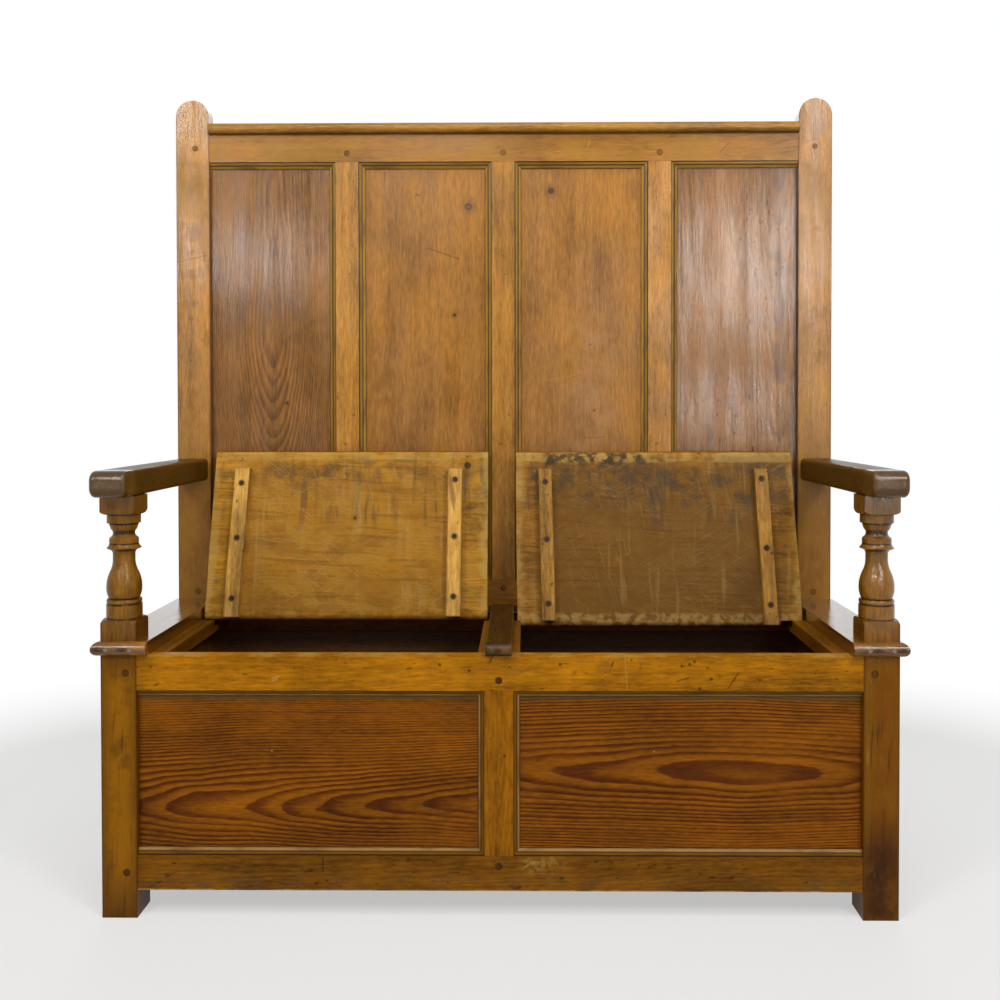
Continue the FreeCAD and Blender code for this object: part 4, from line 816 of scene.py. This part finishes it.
def list_base():
    """Rails, muntin, panels and posts of the base, and the floor of the box."""
    board("front_top_rail", "x", "y", Look(
        OCHRE, contrast=0.35, pith=(0.04, 0.08), rough=0.32, shine=0.08, specks=0.6, cloud=0.42, marks=(
            scuffs(DARK, 0.7, angle=1.1, long=26, fine=60, low=0.66,
                   field=(-0.62, 0.62, 0.005, 0.036), salt=1.0),
            scuffs(UMBER[1], 0.55, angle=0.15, long=25, fine=150, low=0.6, high=0.7,
                   field=(-0.3, 0.0, -0.02, 0.036), salt=2.0),
            spots([(0.322, 0.021), (0.309, 0.018), (0.33, 0.026), (0.339, -0.02), (0.359, -0.004),
                   (-0.1, 0.02), (-0.05, 0.01), (0.104, 0.021)], 0.004, DARK, 0.7),
            scratches([((0.388, -0.018), (0.405, 0.008)), ((0.3, -0.008), (0.32, -0.002))], 0.002,
                      DARK, 0.7),
            scratches([((0.213, 0.036), (0.217, -0.021))], 0.0018, STRAW, 0.35),
            scratches([((-0.384, -0.009), (-0.374, -0.004)), ((-0.372, 0.0), (-0.384, -0.004))], 0.0015,
                      STRAW, 0.7),
            moulding_shading_and_dirt(sides=LOW, **FRONT_MOULDING),
            rim(0.0035, BRIGHT_ARRIS, 0.65, ends=NEITHER, sides=HIGH, patchy=(0.45, 0.6)),
            stain_and_painted_light((-0.2, 0.25, 0.0, 0.04), GREY_GRIME, 0.35, low=0.45, high=0.7))))
    board("front_bottom_rail", "x", "y", Look(
        UMBER, contrast=0.4, pith=(0.04, 0.08), rough=0.42, shine=0.08, specks=0.7, cloud=0.5,
        streaks=0.2, marks=(
            scratches([((-0.299, 0.02), (-0.299, -0.004))], 0.0014, DARK, 0.95),
            stain_and_painted_light((0.04, 0.1, 0.0, 0.02), STRAW, 0.4, low=0.4, scale=60),
            stain_and_painted_light((-0.62, 0.62, -0.036, -0.012), GREY_GRIME, 0.6, low=0.4, high=0.7),
            scuffs(DARK, 0.6, angle=0.3, long=30, fine=90, high=0.7, salt=5.0),
            moulding_shading_and_dirt(sides=HIGH, **FRONT_MOULDING),
            rim(0.003, STRAW, 0.6, ends=NEITHER, sides=LOW, patchy=(0.4, 0.6)))), softness=ROUND_ARRIS)
    board("front_muntin", "z", "y", Look(
        BROWN, pith=(0.05, 0.08), shine=0.08, cloud=0.45, marks=(
            moulding_shading_and_dirt(**FRONT_MOULDING), spots([(0.03, 0.01)], 0.004, UMBER[1], 0.7))))
    figures = {
        "left": dict(pith=(-0.05, 0.06), tilt=-0.055, ring=0.0052, wave=0.008),
        "right": dict(pith=(0.003, 0.062), tilt=0.003, bow=0.034, crown=0.084, ring=0.006, wave=0.0045)}
    for end in ENDS:
        board(f"front_panel_{end}", "x", "y", Look(
            FLAME, contrast=1.0, shine=0.08, specks=0.1, marks=(
                # painted shadow line round the panel
                rim(PANEL_SHADOW_LINE, DARK, 0.8, rag=0.25),
                # a grey-green band along the panel's top edge, under the rail
                stain_and_painted_light((-0.3, 0.3, 0.1235, 0.14), GREY_GREEN_LINE, 0.7, soft=0.0015, rag=0.002, low=0.1, high=0.5),
                spots([(-0.062, 0.035)], 0.002, STRAW, 0.6)), **figures[end]), "pitch_pine", softness=0)
        board(f"side_top_rail_{end}", "y", "x", Look(
            BROWN, contrast=0.35, shine=0.08, marks=(moulding_shading_and_dirt(sides=LOW, **FRONT_MOULDING),)))
        board(f"side_bottom_rail_{end}", "y", "x", Look(
            UMBER, contrast=0.35, marks=(moulding_shading_and_dirt(sides=HIGH, **FRONT_MOULDING),)))
    for end, pith_depth in (("left", 0.05), ("right", -0.05)):
        board(f"side_panel_{end}", "y", "x", Look(
            FLAME, contrast=0.9, pith=(0.02, pith_depth), tilt=0.05, wave=0.01,
            # painted shadow line round the panel
            marks=(rim(SIDE_PANEL_SHADOW_LINE, DARK, 0.6),)), "pitch_pine", softness=0)
    list_front_posts()
    for where in ("front", "middle", "rear"):
        board(f"floor_board_{where}", "x", "z", Look(INSIDE_SHADE, rough=0.7), "bare_pine")


def list_front_posts():
    """Front posts: dark and worn below the seat, turned and polished above it, the left one duller."""
    for end, colours, coat, dirt_top, dirt in (
            ("left", DARK_TURNED, 0.2, -0.31, 0.6), ("right", TURNED, 0.6, -0.22, 0.97)):
        board(f"front_post_{end}", "z", "y", Look(
            colours, ring=0.0055, pith=(0.05, 0.1), wave=0.003, shine=0.08, coat=coat, coat_rough=0.14,
            coat_span=(0.09, 0.13), cloud=0.42, streaks=0.2, specks=0.5, blush=TURNED_BLUSH, marks=(
                stain_and_painted_light((-0.4, 0.075, -0.04, 0.04), UMBER[0], 0.7, soft=0.01, low=0.1, high=0.3),
                stain_and_painted_light((-0.36, 0.05, -0.016, 0.02), LEG_WEAR[end], 0.85, soft=0.012, rag=0.012, high=0.55),
                scuffs(DARK, 0.5, angle=0.03, long=8, fine=200, low=0.56, high=0.7,
                       field=(-0.38, 0.07, -0.03, 0.03), salt=8.0),
                stain_and_painted_light((-0.4, dirt_top, -0.04, 0.04), FOOT_DIRT, dirt, soft=0.05, low=0.1),
                scuffs(STRAW, 0.5, angle=0.05, long=12, fine=220, field=(-0.1, 0.05, -0.03, 0.01), salt=6.0),
                # grime and painted shade in the grooves of the turning
                bands(TURNED_GROOVES, TREACLE[1], 0.8),
                # painted shade in a band at the foot of the turning
                stain_and_painted_light((0.1, 0.135, -0.04, 0.04), COLLAR_SHADE, 0.5, soft=0.006),
                rim(0.004, UMBER[1], 0.6, ends=NEITHER))), "dark_waxed_pine", SOFT_ARRIS, False)


def list_seat():
    """Fixed boards of the seat, with the nosing strips, and the arms."""
    nails = {"left": [(-0.0335, 0), (0.0065, 0)], "right": [(-0.0065, 0), (0.0335, 0)]}
    for end in ENDS:
        board(f"seat_end_board_{end}", "y", "z", Look(
            END_BOARD, rough=0.2, shine=0.1, coat=1.0, coat_rough=0.05, coat_ior=2.2,
            marks=(rim(0.004, UMBER[1], 0.6),)), "dark_waxed_pine")
        board(f"seat_nosing_{end}", "x", "z", Look(
            NOSING, rough=0.2, shine=0.1, coat=0.5, cloud=0.45, marks=(
                spots(nails[end], 0.0055, BLACK_STAIN, 0.9, stretch=2.6, hard=0.3, on_edge=True),)),
            "dark_waxed_pine")
        board(f"lid_ledge_{end}", "y", "z", Look(UMBER, rough=0.6, shine=0.08), "bare_pine")
        board(f"arm_{end}", "y", "z", Look(
            TREACLE, ring=0.004, pith=(0.01, -0.05), rough=0.3, shine=0.05, cloud=0.5, coat=0.8,
            coat_rough=0.05, coat_ior=1.4, coat_span=(-0.17, -0.2), blush=ARM_BLUSH,
            marks=(rim(0.012, ARM_WEAR, 0.35, ends=LOW, rag=0.7),)), "dark_waxed_pine", softness=0)
    board("seat_rear_board", "x", "z", Look(UMBER, rough=0.4))
    board("centre_cap_strip", "y", "z", Look(
        CAP_STRIP, rough=0.26, shine=0.08, coat=0.15,
        marks=(rim(0.003, STRIP_WEAR, 0.5, ends=LOW, patchy=(0.4, 0.6)),)), "dark_waxed_pine")
    board("centre_bearer", "y", "z", Look(UMBER, rough=0.5), "bare_pine")


def list_lids():
    """Boards and battens of the two lids."""
    knots = {"left": (knot(0.238, -0.14, 0.008, BLACK_STAIN), knot(0.012, -0.032, 0.004, UMBER[1])),
             "right": ()}
    for side, colours, top, batten_colours in (
            ("left", KHAKI, GREY_TINT, BRIGHT), ("right", DULL_KHAKI, WARM_TINT, PALE)):
        board(f"{side}_lid_board", "x", "z", Look(
            colours, ring=0.0055, contrast=0.4, pith=(0.03, 0.09), wave=0.012, rough=0.5, shine=0.08,
            specks=0.7, cloud=0.52, streaks=0.26, top=top,
            marks=lid_marks(**UNDERSIDES[side]) + knots[side]), "bare_pine", SOFT_ARRIS)
        for where in ("outer", "inner"):
            board(f"{side}_lid_{where}_batten", "y", "z", Look(
                batten_colours, ring=0.0035, contrast=0.4, rough=0.5, shine=0.1, specks=0.6, cloud=0.45,
                marks=(scuffs(GREY_GRIME, 0.5, angle=0.1, long=10, fine=90, low=0.55, high=0.68, salt=2.0),
                       rim(0.003, UMBER[0], 0.5, rag=0.6))), "bare_pine", SOFT_ARRIS)


CROSSWISE = math.pi / 2

# What differs between the undersides of the lids: tones, places and amounts of their marks
UNDERSIDES = {
    "left": dict(
        middle_tone=(0.37, 0.15, 0.01), middle=0.6, clouds=(0.48, 0.24, 0.02), contact_high=0.7,
        grime_to=-0.105, grime=0.5, black_field=(-0.18, 0.0, -0.14, -0.11), black=0.4, scratched=0.28,
        foot=UMBER[0]),
    "right": dict(
        middle_tone=(0.165, 0.07, 0.008), middle=0.9, clouds=(0.22, 0.1, 0.014), contact_high=0.6,
        grime_to=-0.07, grime=0.8, black_field=(-0.22, -0.02, -0.172, -0.15), black=0.85, scratched=0.14,
        foot=CHALKY)}


def lid_marks(middle_tone, middle, clouds, contact_high, grime_to, grime, black_field, black, scratched,
              foot):
    """Underside of a lid: a pale band where it bears on the front rail, grime behind it, and scratches."""
    fine = [scuffs(CHALKY, scratched, angle=angle, long=16, fine=420, low=0.58, high=0.68, salt=salt)
            for angle, salt in ((0.6, 2.0), (-0.5, 3.0), (1.3, 4.0), (0.1, 9.0))]
    return (
        stain_and_painted_light((-0.215, 0.215, -0.15, 0.19), middle_tone, middle, soft=0.015, rag=0.015, low=0.1, high=0.45),
        stain_and_painted_light(ALL_OVER, clouds, 0.5, low=0.45, high=0.62, scale=14),
        scuffs(UMBER[1], 0.4, angle=0.04, long=5, fine=150, low=0.52, high=0.66, salt=5.0),
        scuffs(GREY_GRIME, 0.6, angle=CROSSWISE, long=7, fine=75, low=0.52, high=0.66,
               field=(-0.3, 0.3, -0.19, -0.02), salt=1.0),
        scuffs(CHALKY, 0.3, angle=CROSSWISE, long=4, fine=60, low=0.56, salt=8.0),
        stain_and_painted_light((-0.3, 0.3, -0.19, -0.152), STRAW, 0.6, soft=0.003, rag=0.01, high=contact_high),
        stain_and_painted_light((-0.3, 0.3, -0.15, grime_to), GREY_GRIME, grime, rag=0.03, low=0.42),
        stain_and_painted_light(black_field, BLACK_STAIN, black, soft=0.006, rag=0.012, low=0.4, high=0.55, scale=30),
        rim(0.022, STRAW, 0.55, sides=NEITHER, rag=0.9, patchy=(0.3, 0.6)),
        stain_and_painted_light((-0.3, 0.3, 0.15, 0.18), foot, 0.5, soft=0.004, rag=0.006, low=0.42, high=0.56, scale=40),
        *fine,
        rim(0.0028, UMBER[1], 0.85, rag=0.7),
        rim(0.004, BROWN[1], 0.9, ends=NEITHER, sides=LOW, rag=0.3))


def islands(mesh):
    """Middle of each separate piece of a mesh."""
    work = bmesh.new()
    work.from_mesh(mesh)
    bmesh.ops.remove_doubles(work, verts=work.verts, dist=WELD)
    met = set()
    for start in work.verts:
        if start in met:
            continue
        met.add(start)
        piece = [start]
        for vertex in piece:
            for edge in vertex.link_edges:
                other = edge.other_vert(vertex)
                if other not in met:
                    met.add(other)
                    piece.append(other)
        yield sum((vertex.co for vertex in piece), Vector()) / len(piece)
    work.free()


# Marks that fasteners leave on boards: nodes, the axis they run along, and the mark
PEG_MARK = dict(reach=0.0066, colour=DARK, amount=0.85, hard=0.88)
SCREW_MARK = dict(reach=0.0085, colour=IRON_STAIN, amount=0.9, hard=0.5)
FASTENER_MARKS = (
    (("front_frame_pegs", "back_frame_pegs"), "y", PEG_MARK),
    (("side_frame_pegs",), "x", PEG_MARK),
    (("cap_strip_peg",), "z", PEG_MARK),
    (("left_lid_screws", "right_lid_screws"), "z", SCREW_MARK))

# Where each board's wood lies in the noise, and the size taken for solids that share a node
FIRST_SEED = 3.1
SEED_STEP = 5.3
PEG_SEED = 1.7
BEARER_SEED = 2.9
SHARED_SIZE = (2.0, 2.0, 2.0)


def fastener_marks(node, grain, face, centre, turn, size):
    """Rings round the fasteners that come out on a board's face."""
    undo = Matrix.Rotation(-turn, 3, "X")
    side = side_axis(grain, face)
    marks = ()
    for fasteners, run, mark in FASTENER_MARKS:
        places = []
        for middle in FASTENER_PLACES[fasteners] if run == face else ():
            local = undo @ (middle - centre)
            if all(abs(local[axis]) < size[axis] / 2 for axis in range(3)):
                places.append((local[AXES.index(grain)], local[AXES.index(side)]))
        if places:
            marks += (spots(places, **mark),)
    return marks


def dress_boards():
    """Every listed board, each with a material of its own."""
    for fasteners, _, _ in FASTENER_MARKS:
        FASTENER_PLACES[fasteners] = [middle for node in fasteners for middle in islands(NODES[node].data)]
    for number, (node, (grain, face, look, slot, softness, flat)) in enumerate(sorted(BOARDS.items())):
        body = NODES[node]["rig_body"]
        turn = -(math.pi / 2 + LEANS[body]) if body in LEANS else 0
        centre, size = local_frame(node, turn)
        look.marks += fastener_marks(node, grain, face, centre, turn, size)
        seed = FIRST_SEED + SEED_STEP * number
        dress(node, wood(node + "_wood", centre, turn, grain, face, look, seed, size), softness, flat)


METAL_GRAIN = 900
METAL_DETAIL = 3.0
METAL_SHADE = 0.6


def metal(name, colour, roughness):
    """Metal with a fine uneven tone."""
    material = bpy.data.materials.new(name)
    g = Graph(material)
    spread = g.noise(g.position(), METAL_GRAIN, METAL_DETAIL)
    tint = g.mix(spread, tuple(channel * METAL_SHADE for channel in colour), colour)
    shader = g.add("ShaderNodeBsdfPrincipled", {"Base Color": tint, "Metallic": 1.0, "Roughness": roughness})
    g.show(shader)
    return material


def dress_fasteners():
    """Pegs, screws, nails and pins, and the bearers of the floor, whose solids share a node."""
    for node, face, colours in (("front_frame_pegs", "y", DARK_PEG), ("back_frame_pegs", "y", PALE_PEG),
                                ("side_frame_pegs", "x", DARK_PEG), ("cap_strip_peg", "z", DARK_PEG)):
        look = Look(colours, ring=0.0015, contrast=0.5, pith=(0, 0), rough=0.4, shine=0.1)
        grain = "z" if face != "z" else "x"
        material = wood(node + "_wood", Vector(), 0, grain, face, look, PEG_SEED, SHARED_SIZE)
        dress(node, material, softness=0, flat=False)
    iron = metal("dark_iron", DARK_IRON, roughness=0.6)
    worn = metal("worn_iron", WORN_IRON, roughness=0.3)
    for node, material in (("left_lid_screws", iron), ("right_lid_screws", iron), ("nosing_nails", worn)):
        dress(node, material, softness=0, flat=False)
    steel = metal("pin_steel", PIN_STEEL, roughness=0.6)
    dress("lid_pivot_pins", steel, softness=0, flat=False)
    bearer_look = Look(INSIDE_SHADE, rough=0.7)
    bearer = wood("floor_bearers_wood", Vector(), 0, "y", "z", bearer_look, BEARER_SEED, SHARED_SIZE)
    dress("floor_bearers", bearer)


# Floor: its reach, where it starts to fade and is white, how much less the fade counts width than
# depth, and how white it shows before it fades
FLOOR_REACH = 14
FLOOR_FADE = (0.6, 1.8)
FADE_NARROWER = 0.8
FLOOR_WHITE = 0.5
FLOOR_PAINT = (0.8, 0.79, 0.77, 1)
FLOOR_ROUGH = 0.6
WHITE = (1, 1, 1, 1)
DAYLIGHT = (0.97, 0.98, 1.0, 1)
DAYLIGHT_STRENGTH = 0.14

# Lamps: name, place, point faced, width, height, watts, and whether they light surfaces or only shine
LAMPS = (
    ("overhead", (0.1, -1.5, 3.1), (0, 0.1, 0.9), 2.4, 1.4, 49, True),
    ("right_box", (1.7, -2.4, 2.45), (0.2, 0, 0.8), 0.6, 0.7, 28, True),
    ("left_box", (-1.7, -2.4, 2.45), (-0.2, 0, 0.8), 0.6, 0.7, 23, True),
    ("right_shine", (1.0, -2.45, 1.48), (0.4, 0.2, 1.1), 0.15, 0.6, 10, False),
    ("right_low_shine", (0.93, -2.45, 0.9), (0.4, 0.2, 0.9), 0.12, 0.2, 4, False),
    ("right_post_shine", (1.38, -2.45, 1.62), (0.6, 0.2, 1.2), 0.06, 0.5, 5, False),
    ("left_shine", (-1.13, -2.45, 1.57), (-0.4, 0.2, 1.1), 0.12, 0.25, 4, False),
    ("left_post_shine", (-1.46, -2.45, 1.6), (-0.6, 0.2, 1.2), 0.06, 0.3, 4, False),
    ("rail_shine", (-0.35, -2.45, 2.06), (-0.1, 0.2, 1.4), 0.35, 0.1, 9, False),
    ("right_arm_shine", (1.43, -2.45, 0.585), (0.65, -0.2, 0.74), 0.1, 0.05, 1.4, False),
    ("left_arm_shine", (-1.51, -2.45, 0.595), (-0.65, -0.2, 0.74), 0.08, 0.03, 0.8, False),
    ("rear_fill", (0, 3.0, 2.0), (0, 0, 0.6), 3.0, 1.6, 26, True))


def straight_or_mirrored(g):
    """1 for rays from the camera, a mirrored face or glass."""
    rays = g.add("ShaderNodeLightPath").outputs
    mirrored = g.math("MAXIMUM", rays["Is Glossy Ray"], rays["Is Transmission Ray"])
    return g.math("MAXIMUM", rays["Is Camera Ray"], mirrored)


def make_floor():
    """Pale floor that fades to white."""
    floor_mesh = bpy.data.meshes.new("floor")
    corners = [(FLOOR_REACH * x, FLOOR_REACH * y, 0) for x, y in ((-1, -1), (1, -1), (1, 1), (-1, 1))]
    floor_mesh.from_pydata(corners, [], [(0, 1, 2, 3)])
    floor = bpy.data.objects.new("floor", floor_mesh)
    scene.collection.objects.link(floor)
    material = bpy.data.materials.new("floor_paint")
    g = Graph(material)
    parts = g.add("ShaderNodeSeparateXYZ", {0: g.position()}).outputs
    away = g.step(g.length(g.times(parts[0], FADE_NARROWER), parts[1]), *FLOOR_FADE)
    seen = straight_or_mirrored(g)
    paint = g.add("ShaderNodeBsdfPrincipled", {"Base Color": FLOOR_PAINT, "Roughness": FLOOR_ROUGH})
    white = g.add("ShaderNodeEmission", {"Color": WHITE, "Strength": 1.0})
    blend = g.add("ShaderNodeMixShader", {0: g.times(g.math("MAXIMUM", away, FLOOR_WHITE), seen),
                                          1: paint.outputs[0], 2: white.outputs[0]})
    g.show(blend)
    floor_mesh.materials.append(material)


def make_surroundings():
    """White to the eye and in mirrored faces, and a dim daylight on surfaces."""
    world = bpy.data.worlds.new("surroundings")
    scene.world = world
    g = Graph(world)
    seen = straight_or_mirrored(g)
    ambient = g.add("ShaderNodeBackground", {"Color": DAYLIGHT, "Strength": DAYLIGHT_STRENGTH})
    white = g.add("ShaderNodeBackground", {"Color": WHITE, "Strength": 1.0})
    blend = g.add("ShaderNodeMixShader", {0: seen, 1: ambient.outputs[0], 2: white.outputs[0]})
    g.show(blend, "World")


def make_lamps():
    """Lamps that the camera doesn't see."""
    for name, place, target, width, height, power, lights_up in LAMPS:
        lamp = bpy.data.lights.new(name, "AREA")
        lamp.shape = "RECTANGLE"
        lamp.size, lamp.size_y, lamp.energy = width, height, power
        holder = bpy.data.objects.new(name, lamp)
        holder.visible_diffuse = lights_up
        holder.visible_camera = False
        holder.location = place
        holder.rotation_euler = (Vector(target) - Vector(place)).to_track_quat("-Z", "Y").to_euler()
        scene.collection.objects.link(holder)


list_back()
list_base()
list_seat()
list_lids()
dress_boards()
dress_fasteners()
make_floor()
make_surroundings()
make_lamps()
make_camera()
scene.view_settings.view_transform = "Standard"
